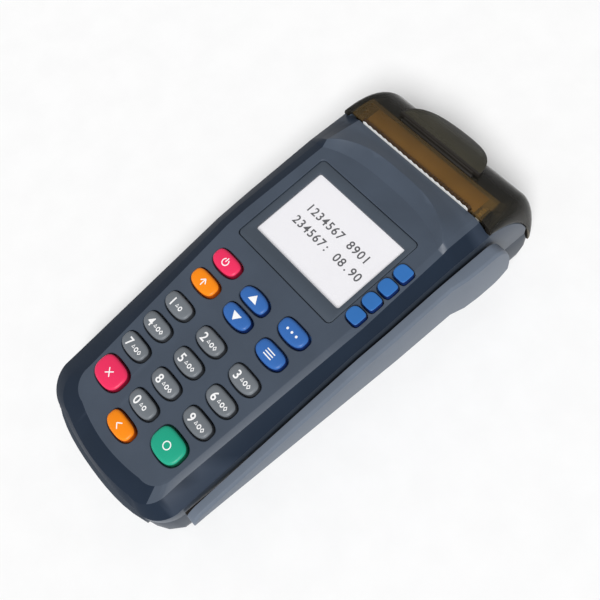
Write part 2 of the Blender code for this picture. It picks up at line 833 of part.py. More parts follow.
def base_loop(inset, height):
    """A closed line round the base, drawn in by an inset; height is a level or follows y."""
    corner = FRONT_CORNER - inset / 2
    rear = BASE_REAR_Y - inset
    rear_corner = BASE_REAR_CORNER - inset / 2
    points = []
    rows = [between(rear - rear_corner, LAST_ROW_Y, step / 7) for step in range(1, 8)]
    quarter = [step / CORNER_STEPS for step in range(CORNER_STEPS + 1)]
    half_right = side_half(rear) - inset
    for share in reversed(quarter):
        angle = share * math.pi / 2
        x = half_right - rear_corner + rear_corner * math.cos(angle)
        points.append((x, rear - rear_corner + rear_corner * math.sin(angle)))
    points += [(side_half(y) - inset, y) for y in rows]
    half = side_half(LAST_ROW_Y) - inset - corner
    for share in quarter[1:]:
        angle = share * math.pi / 2
        y = FRONT_Y + inset + corner - corner * math.sin(angle)
        points.append((half + corner * math.cos(angle), y))
    for step in range(1, FACE_COLUMNS // 2):
        share = 1 - 2 * step / FACE_COLUMNS
        points.append((share * half, FRONT_Y + inset - FRONT_BOW * (1 - share * share)))
    front = [(0, FRONT_Y + inset - FRONT_BOW)]
    mirrored = [(-x, y) for x, y in reversed(points)]
    line = points + front + mirrored
    return [Vector((x, y, height(y) if callable(height) else height)) for x, y in line]


def base_top(y):
    """Top edge of the base: level at the seam, low behind the cheeks."""
    if y < CHEEK_Y + CHEEK_LONG / 2:
        return SEAM_UP - GAP
    if y >= CHEEK_Y + CHEEK_LONG:
        return BASE_REAR_UP
    return max(min(SEAM_UP - GAP, cheek_height(y)), BASE_REAR_UP)


def make_base_cover():
    """The lower shell: card lip, battery well, screw posts, hinge lugs and recesses for the feet."""
    tuck_up = BASE_UP + BASE_TUCK_UP + BASE_CHAMFER_UP
    loops = [
        base_loop(BASE_FLAT_INSET, BASE_UP),
        base_loop(BASE_CHAMFER, BASE_UP),
        base_loop(BASE_TUCK, BASE_UP + BASE_CHAMFER_UP),
        base_loop(BASE_LINE, lambda y: min(tuck_up, base_top(y) - SINK)),
        base_loop(0, base_top),
    ]
    bm = bmesh.new()
    rows = [[bm.verts.new(point) for point in loop] for loop in loops]
    for lower, upper in zip(rows, rows[1:]):
        add_strip(bm, lower, upper, closed=True)
    bm.faces.new(rows[0])
    base = solidify(bm, "base", WALL)

    floor = BASE_UP + WALL
    add_card_lip(base)
    add_battery_well(base, floor)
    for x, y in SCREW_PLACES:
        fuse(base, rod("z", POST_ROUND, floor - SINK, SEAM_UP - 2 * GAP, (x, y), SMALL_SIDES))
        cut(base, rod("z", HEAD_ROUND + GAP, 0, BASE_UP + HEAD_SINK + GAP, (x, y), SMALL_SIDES))
        cut(base, rod("z", SHANK_ROUND + GAP, 0, SEAM_UP + OVERRUN, (x, y), SMALL_SIDES))
    for side in (-1, 1):
        fuse(base, hinge_lug(side, floor))
    for y in (FOOT_FRONT_Y, FOOT_REAR_Y):
        half = (FOOT_HALF + GAP, FOOT_WIDE / 2 + GAP)
        outline = rounded_rectangle((0, y), half, FOOT_ROUND)
        cut(base, slab("XY", [outline], 0, FOOT_THICK + GAP))
    bore = HINGE_PIN + HINGE_FIT
    hinge_out = HINGE_HALF + GAP + LUG_THICK
    cut(base, rod("x", bore, -hinge_out - OVERRUN, hinge_out + OVERRUN, (HINGE_Y, HINGE_Z)))
    return keep(base, "base_cover", (0.07, 0.08, 0.10), 0.5)


def add_card_lip(base):
    """The ledge under the card slot, and the slot itself."""
    top = SEAM_UP - CARD_SLOT
    back = FRONT_Y + WALL
    outline = []
    for step in range(FACE_COLUMNS + 1):
        share = 2 * step / FACE_COLUMNS - 1
        reach = FRONT_BOW * (1 - share * share) + LIP_OUT * (1 - share**4)
        outline.append((share * LIP_HALF, FRONT_Y - reach))
    outline += [(LIP_HALF, back), (-LIP_HALF, back)]
    fuse(base, slab("XY", [outline], LIP_LOW, top + SINK))
    mouth = (-CARD_SLOT_HALF, FRONT_Y - FRONT_BOW - LIP_OUT - OVERRUN, top)
    cut(base, box(mouth, (CARD_SLOT_HALF, back + LIP_DEEP, SEAM_UP + OVERRUN)))


WELL_HALF = BATTERY_HALF + GAP + WELL_WALL
WELL_REAR_Y = WELL_FRONT_Y + 2 * WELL_WALL + 2 * GAP + BATTERY_LONG
BATTERY_Y = WELL_FRONT_Y + WELL_WALL + GAP
DOOR_UP = BASE_UP
DOOR_TOP = DOOR_UP + DOOR_THICK
BATTERY_UP = DOOR_TOP + GAP
WELL_TOP = BATTERY_UP + BATTERY_TALL + GAP + WELL_WALL
DOOR_HALF = BATTERY_HALF + DOOR_SIDE
DOOR_FRONT_Y = BATTERY_Y - DOOR_SIDE
DOOR_REAR_Y = BATTERY_Y + BATTERY_LONG + DOOR_SIDE


def add_battery_well(base, floor):
    """A walled bay for the battery, open below, with a longer recess for the sliding door."""
    sill_front = DOOR_FRONT_Y - DOOR_TRAVEL - GAP
    sill_top = DOOR_TOP + GAP + SILL
    edge = DOOR_SIDE + SILL
    outer = BATTERY_HALF + edge
    sill = box((-outer, sill_front - SILL, floor - SINK), (outer, DOOR_REAR_Y + SILL, sill_top))
    well = box((-WELL_HALF, WELL_FRONT_Y, floor - SINK), (WELL_HALF, WELL_REAR_Y, WELL_TOP))
    room_half = BATTERY_HALF + GAP
    room_low = (-room_half, BATTERY_Y - GAP, 0)
    room = box(room_low, (room_half, BATTERY_Y + BATTERY_LONG + GAP, WELL_TOP - WELL_WALL))
    door_half = DOOR_HALF + GAP
    track = box((-door_half, sill_front, 0), (door_half, DOOR_REAR_Y + GAP, DOOR_TOP + GAP))
    fuse(base, sill, well)
    cut(base, track, room)


def hinge_lug(side, floor):
    """A lug that carries the lid's hinge pin, on an arm that reaches forward to the floor."""
    outline = []
    for step in range(9):
        angle = -math.pi / 2 + step * math.pi / 8
        y = HINGE_Y + LUG_ROUND * math.cos(angle)
        outline.append((y, HINGE_Z + LUG_ROUND * math.sin(angle)))
    outline.append((HINGE_Y - LUG_LONG, HINGE_Z + LUG_ROUND))
    outline.append((HINGE_Y - LUG_LONG, floor - SINK))
    outline.append((HINGE_Y - LUG_BACK, floor - SINK))
    outline.append((HINGE_Y - LUG_BACK, HINGE_Z - LUG_ROUND))
    inner = HINGE_HALF + GAP
    low, high = (inner, inner + LUG_THICK) if side > 0 else (-inner - LUG_THICK, -inner)
    return slab("YZ", [outline], low, high)


def make_battery():
    """The battery pack and the sliding door under it."""
    half = BATTERY_HALF
    rear = BATTERY_Y + BATTERY_LONG
    pack = box((-half, BATTERY_Y, BATTERY_UP), (half, rear, BATTERY_UP + BATTERY_TALL))
    round_edges(pack, BATTERY_ROUND)
    keep(pack, "battery_pack", (0.09, 0.09, 0.10), 0.5)
    low = (-DOOR_HALF, DOOR_FRONT_Y, DOOR_UP)
    door = box(low, (DOOR_HALF, DOOR_REAR_Y, DOOR_TOP))
    grip_y = DOOR_FRONT_Y + DOOR_TRAVEL
    for step in range(3):
        y = grip_y + step * 2 * DOOR_GRIP
        groove = ((-DOOR_GRIP_HALF, y, 0), (DOOR_GRIP_HALF, y + DOOR_GRIP, DOOR_UP + DOOR_GRIP_DEEP))
        cut(door, box(*groove))
    keep(door, "battery_door", (0.07, 0.08, 0.10), 0.5)
    set_axis(door, (0, DOOR_FRONT_Y, DOOR_UP))


def make_feet():
    """Two rubber strips let into the underside."""
    for name, y in (("foot_front", FOOT_FRONT_Y), ("foot_rear", FOOT_REAR_Y)):
        outline = rounded_rectangle((0, y), (FOOT_HALF, FOOT_WIDE / 2), FOOT_ROUND)
        keep(slab("XY", [outline], 0, FOOT_THICK), name, (0.03, 0.03, 0.03), 0.9)


def make_case_screws():
    """Four screws from the underside through the posts into the cover's bosses."""
    for number, (x, y) in enumerate(SCREW_PLACES, 1):
        head_low = BASE_UP + HEAD_SINK - HEAD_THICK
        screw = rod("z", HEAD_ROUND, head_low, head_low + HEAD_THICK, (x, y), SMALL_SIDES)
        fuse(screw, rod("z", SHANK_ROUND, head_low + SINK, head_low + SHANK_LONG, (x, y), 10))
        cut(screw, rod("z", DRIVE_ROUND, 0, head_low + DRIVE_DEEP, (x, y), 6))
        keep(screw, f"case_screw_{number}", (0.45, 0.45, 0.47), 0.35, 1.0)


# Keys

FLANGE_TOP = -WALL - GAP
FLANGE_LOW = FLANGE_TOP - KEY_FLANGE_THICK
MAT_TOP = FLANGE_LOW - KEY_TRAVEL - GAP - DOME_TALL
MAT_LOW = MAT_TOP - MAT_THICK
BOARD_TOP = MAT_LOW - GAP

# Powers that shape each quarter of a key: right rear, left rear, left front, right front.
NUMBER_POWERS = (4.6, 4.6, 2.7, 2.7)
UP_POWERS = (2.4, 2.4, 4.6, 4.6)
DOWN_POWERS = (4.6, 4.6, 2.4, 2.4)
BIG_POWERS = (4.2, 4.2, 2.9, 2.9)
SOFT_POWERS = (5.0, 2.6, 2.6, 5.0)

GREY = (0.27, 0.29, 0.31)
RED = (0.85, 0.03, 0.10)
ORANGE = (1.0, 0.28, 0.01)
GREEN = (0.02, 0.38, 0.21)
BLUE = (0.04, 0.16, 0.55)

# Name, column, row, shape and colour; columns and rows are counted in key pitches.
KEYS_SHARES = (
    ("key_power", -0.975, 2.18, "number", RED),
    ("key_shift", -0.99, 1.18, "number", ORANGE),
    ("key_up", 0.0, 2.03, "up", BLUE),
    ("key_down", 0.0, 1.20, "down", BLUE),
    ("key_func", 1.0, 2.18, "number", BLUE),
    ("key_menu", 1.0, 1.18, "number", BLUE),
    ("key_1", -1.0, 0.0, "number", GREY),
    ("key_2", 0.0, 0.0, "number", GREY),
    ("key_3", 1.0, 0.0, "number", GREY),
    ("key_4", -1.0, -1.0, "number", GREY),
    ("key_5", 0.0, -1.0, "number", GREY),
    ("key_6", 1.0, -1.0, "number", GREY),
    ("key_7", -1.0, -2.0, "number", GREY),
    ("key_8", 0.0, -2.0, "number", GREY),
    ("key_9", 1.0, -2.0, "number", GREY),
    ("key_0", 0.0, -3.0, "number", GREY),
    ("key_cancel", -0.94, -3.18, "big", RED),
    ("key_clear", 0.0, -4.0, "number", ORANGE),
    ("key_enter", 0.94, -3.18, "big", GREEN),
)
KEY_SHAPES = {
    "number": (NUMBER_HALF, NUMBER_REACH, NUMBER_POWERS),
    "up": (NUMBER_HALF, ARROW_REACH, UP_POWERS),
    "down": (NUMBER_HALF, ARROW_REACH, DOWN_POWERS),
    "big": (BIG_HALF, BIG_REACH, BIG_POWERS),
    "soft": (SOFT_HALF, SOFT_REACH, SOFT_POWERS),
}


def key_outline(half, reach, powers, more=(0, 0), share=1.0, middle=(0, 0)):
    """A key's outline, with its own roundness in each quarter, widened and scaled."""
    outline = []
    for step in range(KEY_SIDES):
        angle = step * math.tau / KEY_SIDES
        power = 2 / powers[int(angle / (math.pi / 2) + share / KEY_SIDES) % 4]
        u = math.copysign(abs(math.cos(angle)) ** power, math.cos(angle))
        v = math.copysign(abs(math.sin(angle)) ** power, math.sin(angle))
        x = middle[0] + u * (half * share + more[0])
        outline.append((x, middle[1] + v * (reach * share + more[1])))
    return outline


def key_places():
    """Each key's name, place on its own face, shape, colour and frame."""
    places = []
    for name, column, row, shape, colour in KEYS_SHARES:
        place = (KEYPAD_X + column * KEY_X, KEYPAD_S + row * KEY_S)
        places.append((name, place, shape, colour, KEYPAD))
    for number in range(4):
        v = SOFT_MIDDLE + (1.5 - number) * SOFT_S
        places.append((f"soft_key_{number + 1}", (SOFT_X, v), "soft", BLUE, SCREEN))
    return places


def make_keys():
    """The keys, each with a flange that keeps it behind the face."""
    for name, place, shape, colour, frame in key_places():
        half, reach, powers = KEY_SHAPES[shape]
        soft = shape == "soft"
        sunk = RIDGE_DROP_RIGHT if soft else 0
        flange = (KEY_FLANGE, 0 if soft else KEY_FLANGE)
        levels = (
            (FLANGE_LOW - sunk, flange, 1.0),
            (FLANGE_TOP - sunk, flange, 1.0),
            (FLANGE_TOP - sunk, (0, 0), 1.0),
            (KEY_RISE - KEY_EDGE, (0, 0), 1.0),
            (KEY_RISE, (0, 0), KEY_CROWN_SHARE),
        )
        if soft:
            levels = levels[:2] + ((FLANGE_TOP - sunk, (0, -GAP), 1.0),) + levels[3:]
        rings = []
        for height, more, share in levels:
            outline = key_outline(half, reach, powers, more, share)
            rings.append([(u, v, height) for u, v in outline])
        key = keep(loft(rings, frame), name, colour, 0.35, smooth=True)
        key.location = (*place, 0)


def key_holes():
    """Openings in the face: one tool for the keypad, one for the soft keys and the screen."""
    low = -WALL - RIDGE_DROP_RIGHT - OVERRUN
    tools = {KEYPAD: [], SCREEN: []}
    for _, place, shape, _, frame in key_places():
        half, reach, powers = KEY_SHAPES[shape]
        outline = key_outline(half, reach, powers, (KEY_GAP, KEY_GAP), 1.0, place)
        tools[frame].append(slab("XY", [outline], low, OVERRUN, frame))
    middle = (0, RECESS_FRONT + RECESS_LONG / 2)
    recess = rounded_rectangle(middle, (RECESS_HALF, RECESS_LONG / 2), RECESS_CORNER)
    tools[SCREEN].append(slab("XY", [recess], low, OVERRUN, SCREEN))
    return [joined(found, frame) for frame, found in tools.items()]


def make_mats():
    """The rubber mats whose domes push the keys back."""
    domes = {KEYPAD: [], SCREEN: []}
    for _, place, shape, _, frame in key_places():
        sunk = RIDGE_DROP_RIGHT if shape == "soft" else 0
        top = MAT_TOP - sunk
        tip = DOME_ROUND * DOME_TIP_SHARE
        dome = rod("z", DOME_ROUND, top - SINK / 2, top + DOME_TALL, place, 8, frame, tip)
        domes[frame].append(dome)
    low = (-BOARD_HALF + GAP, BOARD_FRONT, MAT_LOW)
    mat = box(low, (BOARD_HALF - GAP, BOARD_REAR, MAT_TOP), KEYPAD)
    fuse(mat, joined(domes[KEYPAD], KEYPAD))
    keep(mat, "keypad_mat", (0.55, 0.56, 0.58), 0.8)
    low = (SOFT_X - SHELF_HALF, SOFT_MIDDLE - SHELF_REACH, MAT_LOW - RIDGE_DROP_RIGHT)
    high = (SOFT_X + SHELF_HALF, SOFT_MIDDLE + SHELF_REACH, MAT_TOP - RIDGE_DROP_RIGHT)
    mat = box(low, high, SCREEN)
    fuse(mat, joined(domes[SCREEN], SCREEN))
    keep(mat, "soft_key_mat", (0.55, 0.56, 0.58), 0.8)


def make_main_board():
    """The circuit board under the keypad, with three chips on its underside."""
    low = BOARD_TOP - BOARD_THICK
    board = box((-BOARD_HALF, BOARD_FRONT, low), (BOARD_HALF, BOARD_REAR, BOARD_TOP), KEYPAD)
    for side in (-1, 0, 1):
        x = side * BOARD_HALF * CHIP_APART_SHARE
        y = BOARD_REAR - CHIP_HALF * (2 + abs(side))
        half = CHIP_HALF * (1 - abs(side) * CHIP_LESS_SHARE)
        chip = box((x - half, y - half, low - CHIP_THICK), (x + half, y + half, low + SINK), KEYPAD)
        fuse(board, chip)
    keep(board, "main_board", (0.02, 0.16, 0.06), 0.5)


# Screen

BEZEL_LOW = -BEZEL_SINK - BEZEL_THICK
PANEL_TOP = BEZEL_LOW - GAP
PANEL_LOW = PANEL_TOP - PANEL_THICK
SHELF_TOP = MAT_LOW - RIDGE_DROP_RIGHT - GAP
SCREEN_MIDDLES = (SCREEN_MIDDLE_X, SCREEN_MIDDLE)


def screen_box(more, low, high):
    """A box round the lit screen, wider by a margin."""
    half = SCREEN_HALF + more
    reach = SCREEN_REACH + more
    x, v = SCREEN_MIDDLES
    return box((x - half, v - reach, low), (x + half, v + reach, high), SCREEN)


def make_screen():
    """Bezel, lens, panel and the frame that holds the panel and its backlight."""
    middle = (0, RECESS_FRONT + RECESS_LONG / 2)
    half = (RECESS_HALF - GAP, RECESS_LONG / 2 - GAP)
    outline = rounded_rectangle(middle, half, RECESS_CORNER - GAP)
    lens_room = (SCREEN_HALF + GAP, SCREEN_REACH + GAP)
    opening = rounded_rectangle(SCREEN_MIDDLES, lens_room, RECESS_CORNER / 2)
    bezel = slab("XY", [outline, opening], BEZEL_LOW, -BEZEL_SINK, SCREEN)
    keep(bezel, "display_bezel", (0.09, 0.11, 0.13), 0.4)
    corner = RECESS_CORNER / 2 - GAP
    outline = rounded_rectangle(SCREEN_MIDDLES, (SCREEN_HALF, SCREEN_REACH), corner)
    lens = slab("XY", [outline], BEZEL_LOW, BEZEL_LOW + LENS_THICK, SCREEN)
    keep(lens, "display_window", (0.85, 0.87, 0.90), 0.05, alpha=0.25)
    panel = screen_box(PANEL_MORE, PANEL_LOW, PANEL_TOP)
    keep(panel, "lcd_panel", (0.75, 0.75, 0.78), 0.3)
    tray = screen_box(PANEL_MORE + GAP + TRAY_LIP, SHELF_TOP - SHELF_THICK, PANEL_TOP)
    inner = SCREEN_MIDDLE_X + SCREEN_HALF + PANEL_MORE
    low = (inner, SOFT_MIDDLE - SHELF_REACH, SHELF_TOP - SHELF_THICK)
    high = (SOFT_X + SHELF_HALF, SOFT_MIDDLE + SHELF_REACH, SHELF_TOP)
    fuse(tray, box(low, high, SCREEN))
    cut(tray, screen_box(PANEL_MORE + GAP, PANEL_LOW - GAP, OVERRUN))
    keep(tray, "lcd_frame", (0.70, 0.71, 0.72), 0.5)


# Card reader and speaker


def make_card_reader():
    """The contact block behind the card slot."""
    arc = FRONT_CORNER - WALL
    across = READER_HALF - (SIDE_FRONT_HALF - FRONT_CORNER)
    front = FRONT_Y + FRONT_CORNER - math.sqrt(arc * arc - across * across) + GAP
    rear = WELL_FRONT_Y - READER_SPACE
    reader = box((-READER_HALF, front, READER_LOW), (READER_HALF, rear, READER_TOP))
    room = (CARD_SLOT - CARD_ROOM) / 2
    low = (-CARD_HALF, front - OVERRUN, SEAM_UP - CARD_SLOT + room)
    cut(reader, box(low, (CARD_HALF, rear - READER_BACK, SEAM_UP - room)))
    keep(reader, "card_connector", (0.05, 0.05, 0.06), 0.5)


def make_speaker():
    """A small speaker on the floor, under the screen's rear edge."""
    low = BASE_UP + WALL + GAP
    place = (SPEAKER_X, WELL_REAR_Y + SPEAKER_SPACE + SPEAKER_ROUND)
    speaker = rod("z", SPEAKER_ROUND, low, low + SPEAKER_THICK, place, FINE_SIDES)
    top = low + SPEAKER_THICK
    cut(speaker, rod("z", CONE_ROUND, top - CONE_DEEP, top + OVERRUN, place, FINE_SIDES))
    keep(speaker, "speaker", (0.20, 0.20, 0.21), 0.6, 0.3)


# Swipe rail and magnetic head


def smooth_share(share):
    """A share from 0 to 1 that starts and ends gently."""
    share = min(max(share, 0), 1)
    return share * share * (3 - 2 * share)


def rail_section(y):
    """The rail's L shaped section: an outer wall on a floor, with the slot between wall and case."""
    paddle = smooth_share((y - PADDLE_START_Y) / PADDLE_NOSE)
    inner = side_half(y) + SLOT_WIDE
    outer = inner + RAIL_THICK + PADDLE_OUT * paddle
    low = RAIL_LOW - PADDLE_DOWN * paddle
    floor = RAIL_LOW + RAIL_FLOOR
    top = face_height(min(y, RAIL_LEVEL_Y)) - SIDE_DROP
    entry = min((y - RAIL_FRONT_Y) / RAIL_ENTRY, 1)
    nose = max((y - RAIL_REAR_Y + PADDLE_NOSE) / PADDLE_NOSE, 0)
    edge_low = floor + RAIL_TOP_EDGE
    top = edge_low + (top - edge_low) * math.sqrt(1 - (1 - entry) ** 2)
    arch = between(NOSE_TALL_SHARE, 1, math.sqrt(1 - nose**2))
    top = between(low + 2 * RAIL_TOP_EDGE, top, arch)
    low = between(low, RAIL_LOW + RAIL_TOP_EDGE, nose * nose)
    edge = RAIL_TOP_EDGE
    return [
        (side_half(y) + GAP, y, low),
        (outer - edge, y, low),
        (outer, y, low + edge),
        (outer, y, top - edge),
        (outer - edge, y, top),
        (inner, y, top),
        (inner, y, floor),
        (side_half(y) + GAP, y, floor),
    ]


RAIL_ENTRY_SHARES = (0.0, 0.15, 0.45, 1.0)
RAIL_SHARES = (0.22, 0.4, 0.6, 0.8, 1.0)
PADDLE_SHARES = (0.2, 0.5, 0.8, 1.0)
NOSE_SHARES = (0.0, 0.35, 0.65, 0.88, 1.0)


def make_rail():
    """The swipe rail, with a pocket for the magnetic head in its paddle."""
    rows = [RAIL_FRONT_Y + RAIL_ENTRY * share for share in RAIL_ENTRY_SHARES]
    entry_end = RAIL_FRONT_Y + RAIL_ENTRY
    rows += [between(entry_end, PADDLE_START_Y, share) for share in RAIL_SHARES]
    rows += [PADDLE_START_Y + PADDLE_NOSE * share for share in PADDLE_SHARES]
    rows += [RAIL_REAR_Y - PADDLE_NOSE * (1 - share) for share in NOSE_SHARES]
    rail = loft([rail_section(y) for y in rows])
    wall = SIDE_REAR_HALF + SLOT_WIDE
    reach = HEAD_LONG_HALF + GAP
    tall = HEAD_TALL_HALF + GAP
    low = (wall - SLOT_WIDE / 2, HEAD_Y - reach, HEAD_Z - tall)
    cut(rail, box(low, (wall + POCKET_DEEP, HEAD_Y + reach, HEAD_Z + tall)))
    keep(rail, "swipe_rail", (0.30, 0.32, 0.33), 0.4)


def make_magnetic_head():
    """The sprung read head in the rail's pocket."""
    wall = SIDE_REAR_HALF + SLOT_WIDE
    outline = []
    for step in range(2 * HEAD_STEPS + 1):
        share = step / HEAD_STEPS - 1
        nose = wall - HEAD_OUT * math.sqrt(1 - (share * HEAD_NOSE_SHARE) ** 2)
        outline.append((HEAD_Y + share * HEAD_LONG_HALF, nose))
    outline.append((HEAD_Y + HEAD_LONG_HALF, wall + HEAD_DEEP))
    outline.append((HEAD_Y - HEAD_LONG_HALF, wall + HEAD_DEEP))
    flipped = [(x, y) for y, x in outline]
    head = slab("XY", [flipped], HEAD_Z - HEAD_TALL_HALF, HEAD_Z + HEAD_TALL_HALF)
    keep(head, "mag_head", (0.50, 0.50, 0.52), 0.3, 1.0)
    set_axis(head, (wall, HEAD_Y, HEAD_Z))
    back = wall + POCKET_DEEP - GAP
    low = (back - SPRING_THICK, HEAD_Y - HEAD_LONG_HALF, HEAD_Z - HEAD_TALL_HALF / 2)
    spring = box(low, (back, HEAD_Y + HEAD_LONG_HALF, HEAD_Z + HEAD_TALL_HALF / 2))
    keep(spring, "mag_head_spring", (0.60, 0.60, 0.58), 0.3, 1.0)


# Printer

TAIL_REAR_Y = PLATEN_Y - PLATEN_ROUND - AXLE_FIT
TAIL_FRONT_Y = TAIL_REAR_Y - TAIL_THICK
HEAD_PLATE_REAR_Y = TAIL_FRONT_Y - GAP
PLATE_IN = PAPER_HALF + 2 * GAP
PLATE_OUT = PLATE_IN + FRAME_THICK
FRAME_FRONT_Y = ROLL_Y - ROLL_ROUND - GAP - FRAME_THICK
GEAR_X = PLATE_OUT + SINK
SMALL_PITCH = MODULE * SMALL_TEETH / 2
IDLER_PITCH = MODULE * IDLER_TEETH / 2
SPACING = SMALL_PITCH + IDLER_PITCH


def away(place, distance, angle):
    """A place at a distance and angle from another, in the plane of y and z."""
    return (place[0] + distance * math.cos(angle), place[1] + distance * math.sin(angle))


PLATEN_PLACE = (PLATEN_Y, PLATEN_Z)
IDLER_PLACE = away(PLATEN_PLACE, SPACING, IDLER_ANGLE)
MOTOR_PLACE = away(IDLER_PLACE, SPACING, MOTOR_ANGLE)


def zigzag(half, low, high, tooth, count):
    """An upright strip with a toothed upper edge, as (z, x) points."""
    points = [(low, -half), (low, half)]
    for step in range(2 * count + 1):
        x = half - step * half / count
        points.append((high + (tooth if step % 2 else 0), x))
    return points


def make_paper():
    """The paper roll and the torn end that stands in the slot."""
    roll = rod("x", ROLL_ROUND, -PAPER_HALF, PAPER_HALF, (ROLL_Y, ROLL_Z), FINE_SIDES)
    long = PAPER_HALF + OVERRUN
    cut(roll, rod("x", ROLL_BORE, -long, long, (ROLL_Y, ROLL_Z), MID_SIDES))
    keep(roll, "paper_roll", (0.90, 0.90, 0.88), 0.8, smooth=True)
    set_axis(roll, (0, ROLL_Y, ROLL_Z))
    across = TAIL_FRONT_Y - ROLL_Y
    low = ROLL_Z + math.sqrt(ROLL_ROUND**2 - across**2) + GAP
    top = face_height(SLOT_Y) + TAIL_UP
    outline = zigzag(PAPER_HALF, low, top, TAIL_TOOTH, TEAR_COUNT // 2)
    tail = slab("ZX", [outline], TAIL_FRONT_Y, TAIL_REAR_Y)
    keep(tail, "paper_tail", (0.92, 0.92, 0.90), 0.8)


def make_printer_frame():
    """Side plates, front wall, head shelf, rear bar and the idler's axle, in one piece."""
    outline = [
        (FRAME_MOTOR_Y, FRAME_MOTOR_LOW),
        (FRAME_FRONT_Y, FRAME_MOTOR_LOW),
        (FRAME_FRONT_Y, FRAME_LOW),
        (FRAME_REAR_Y, FRAME_LOW),
        (FRAME_REAR_Y, FRAME_REAR_TOP),
        (ROLL_Y, FRAME_STEP_Z),
        (FRAME_STEP_Y, FRAME_STEP_Z),
        (FRAME_STEP_Y, FRAME_TOP),
        (FRAME_MOTOR_Y, FRAME_TOP),
    ]
    frame = slab("YZ", [outline], PLATE_IN, PLATE_OUT)
    left = slab("YZ", [outline], -PLATE_OUT, -PLATE_IN)
    inside = PLATE_IN + FRAME_THICK / 2
    top = HEAD_SHELF_LOW + HEAD_SHELF_THICK
    front = FRAME_FRONT_Y + SINK / 2
    rear = FRAME_FRONT_Y + FRAME_THICK
    wall = box((-inside, front, FRAME_LOW + SINK), (inside, rear, top - SINK / 2))
    shelf_rear = HEAD_PLATE_REAR_Y - HEAD_PLATE_THICK - GAP
    shelf_half = HEAD_PLATE_HALF - GAP
    shelf = box((-shelf_half, front + SINK, HEAD_SHELF_LOW), (shelf_half, shelf_rear, top))
    bar_y = FRAME_REAR_Y - FRAME_THICK
    bar_top = FRAME_LOW + 2 * FRAME_THICK
    bar = box((-inside, bar_y, FRAME_LOW + SINK / 2), (inside, FRAME_REAR_Y - SINK / 2, bar_top))
    axle_end = GEAR_X + GEAR_THICK + GAP
    axle = rod("x", AXLE_ROUND, PLATE_IN + SINK, axle_end, IDLER_PLACE, SMALL_SIDES)
    fuse(frame, wall, left, shelf, bar, axle)
    hole = MOTOR_SHAFT + GAP
    cut(frame, rod("x", hole, PLATE_IN - OVERRUN, PLATE_OUT + OVERRUN, MOTOR_PLACE, SMALL_SIDES))
    keep(frame, "printer_frame", (0.55, 0.56, 0.57), 0.4, 0.8)


def make_print_head():
    """The heated strip that presses the paper to the platen."""
    front = HEAD_PLATE_REAR_Y - HEAD_PLATE_THICK
    low = (-HEAD_PLATE_HALF, front, HEAD_PLATE_LOW)
    head = box(low, (HEAD_PLATE_HALF, HEAD_PLATE_REAR_Y, HEAD_PLATE_TOP))
    keep(head, "print_head", (0.70, 0.68, 0.62), 0.4)


def gear_outline(place, teeth, tooth_angle):
    """A gear's outline with straight flanked teeth; one tooth points along tooth_angle."""
    pitch = MODULE * teeth / 2
    step = math.tau / teeth
    outline = []
    for tooth in range(teeth):
        middle = tooth_angle + tooth * step
        root = step * (TOOTH_SHARE + TOOTH_FLARE_SHARE) / 2
        tip = step * (TOOTH_SHARE - TOOTH_FLARE_SHARE) / 2
        outline.append(away(place, pitch - ROOT_LESS, middle - root))
        outline.append(away(place, pitch + TIP_MORE, middle - tip))
        outline.append(away(place, pitch + TIP_MORE, middle + tip))
        outline.append(away(place, pitch - ROOT_LESS, middle + root))
    return outline


def make_gears():
    """Motor gear, idler and platen gear, with the teeth of each in the gaps of the next."""
    low, high = GEAR_X, GEAR_X + GEAR_THICK
    bore = circle(PLATEN_PLACE, SHAFT_ROUND + AXLE_FIT, SMALL_SIDES)
    outline = gear_outline(PLATEN_PLACE, SMALL_TEETH, IDLER_ANGLE)
    gear = keep(slab("YZ", [outline, bore], low, high), "platen_gear", (0.85, 0.84, 0.80), 0.5)
    set_axis(gear, (0, *PLATEN_PLACE))

    idler_step = math.tau / IDLER_TEETH
    idler_phase = IDLER_ANGLE + math.pi + idler_step / 2
    outline = gear_outline(IDLER_PLACE, IDLER_TEETH, idler_phase)
    bore = circle(IDLER_PLACE, AXLE_ROUND + AXLE_FIT, SMALL_SIDES)
    gear = keep(slab("YZ", [outline, bore], low, high), "idler_gear", (0.85, 0.84, 0.80), 0.5)
    set_axis(gear, (0, *IDLER_PLACE))

    lag = (MOTOR_ANGLE - idler_phase) % idler_step
    motor_gap = MOTOR_ANGLE + math.pi + lag * IDLER_TEETH / SMALL_TEETH
    motor_phase = motor_gap + math.pi / SMALL_TEETH
    outline = gear_outline(MOTOR_PLACE, SMALL_TEETH, motor_phase)
    gear = slab("YZ", [outline], low, high)
    shaft_start = PLATE_IN - GAP - MOTOR_SHAFT_LONG
    fuse(gear, rod("x", MOTOR_SHAFT, shaft_start, low + SINK, MOTOR_PLACE, SMALL_SIDES))
    keep(gear, "motor_gear", (0.80, 0.65, 0.30), 0.35, 1.0)
    set_axis(gear, (0, *MOTOR_PLACE))

    end = PLATE_IN - GAP
    motor = rod("x", MOTOR_ROUND, end - MOTOR_LONG, end, MOTOR_PLACE, FINE_SIDES)
    deep = end - MOTOR_SHAFT_LONG - GAP
    cut(motor, rod("x", MOTOR_SHAFT + AXLE_FIT, deep, end + OVERRUN, MOTOR_PLACE, SMALL_SIDES))
    keep(motor, "stepper_motor", (0.60, 0.60, 0.62), 0.35, 1.0)


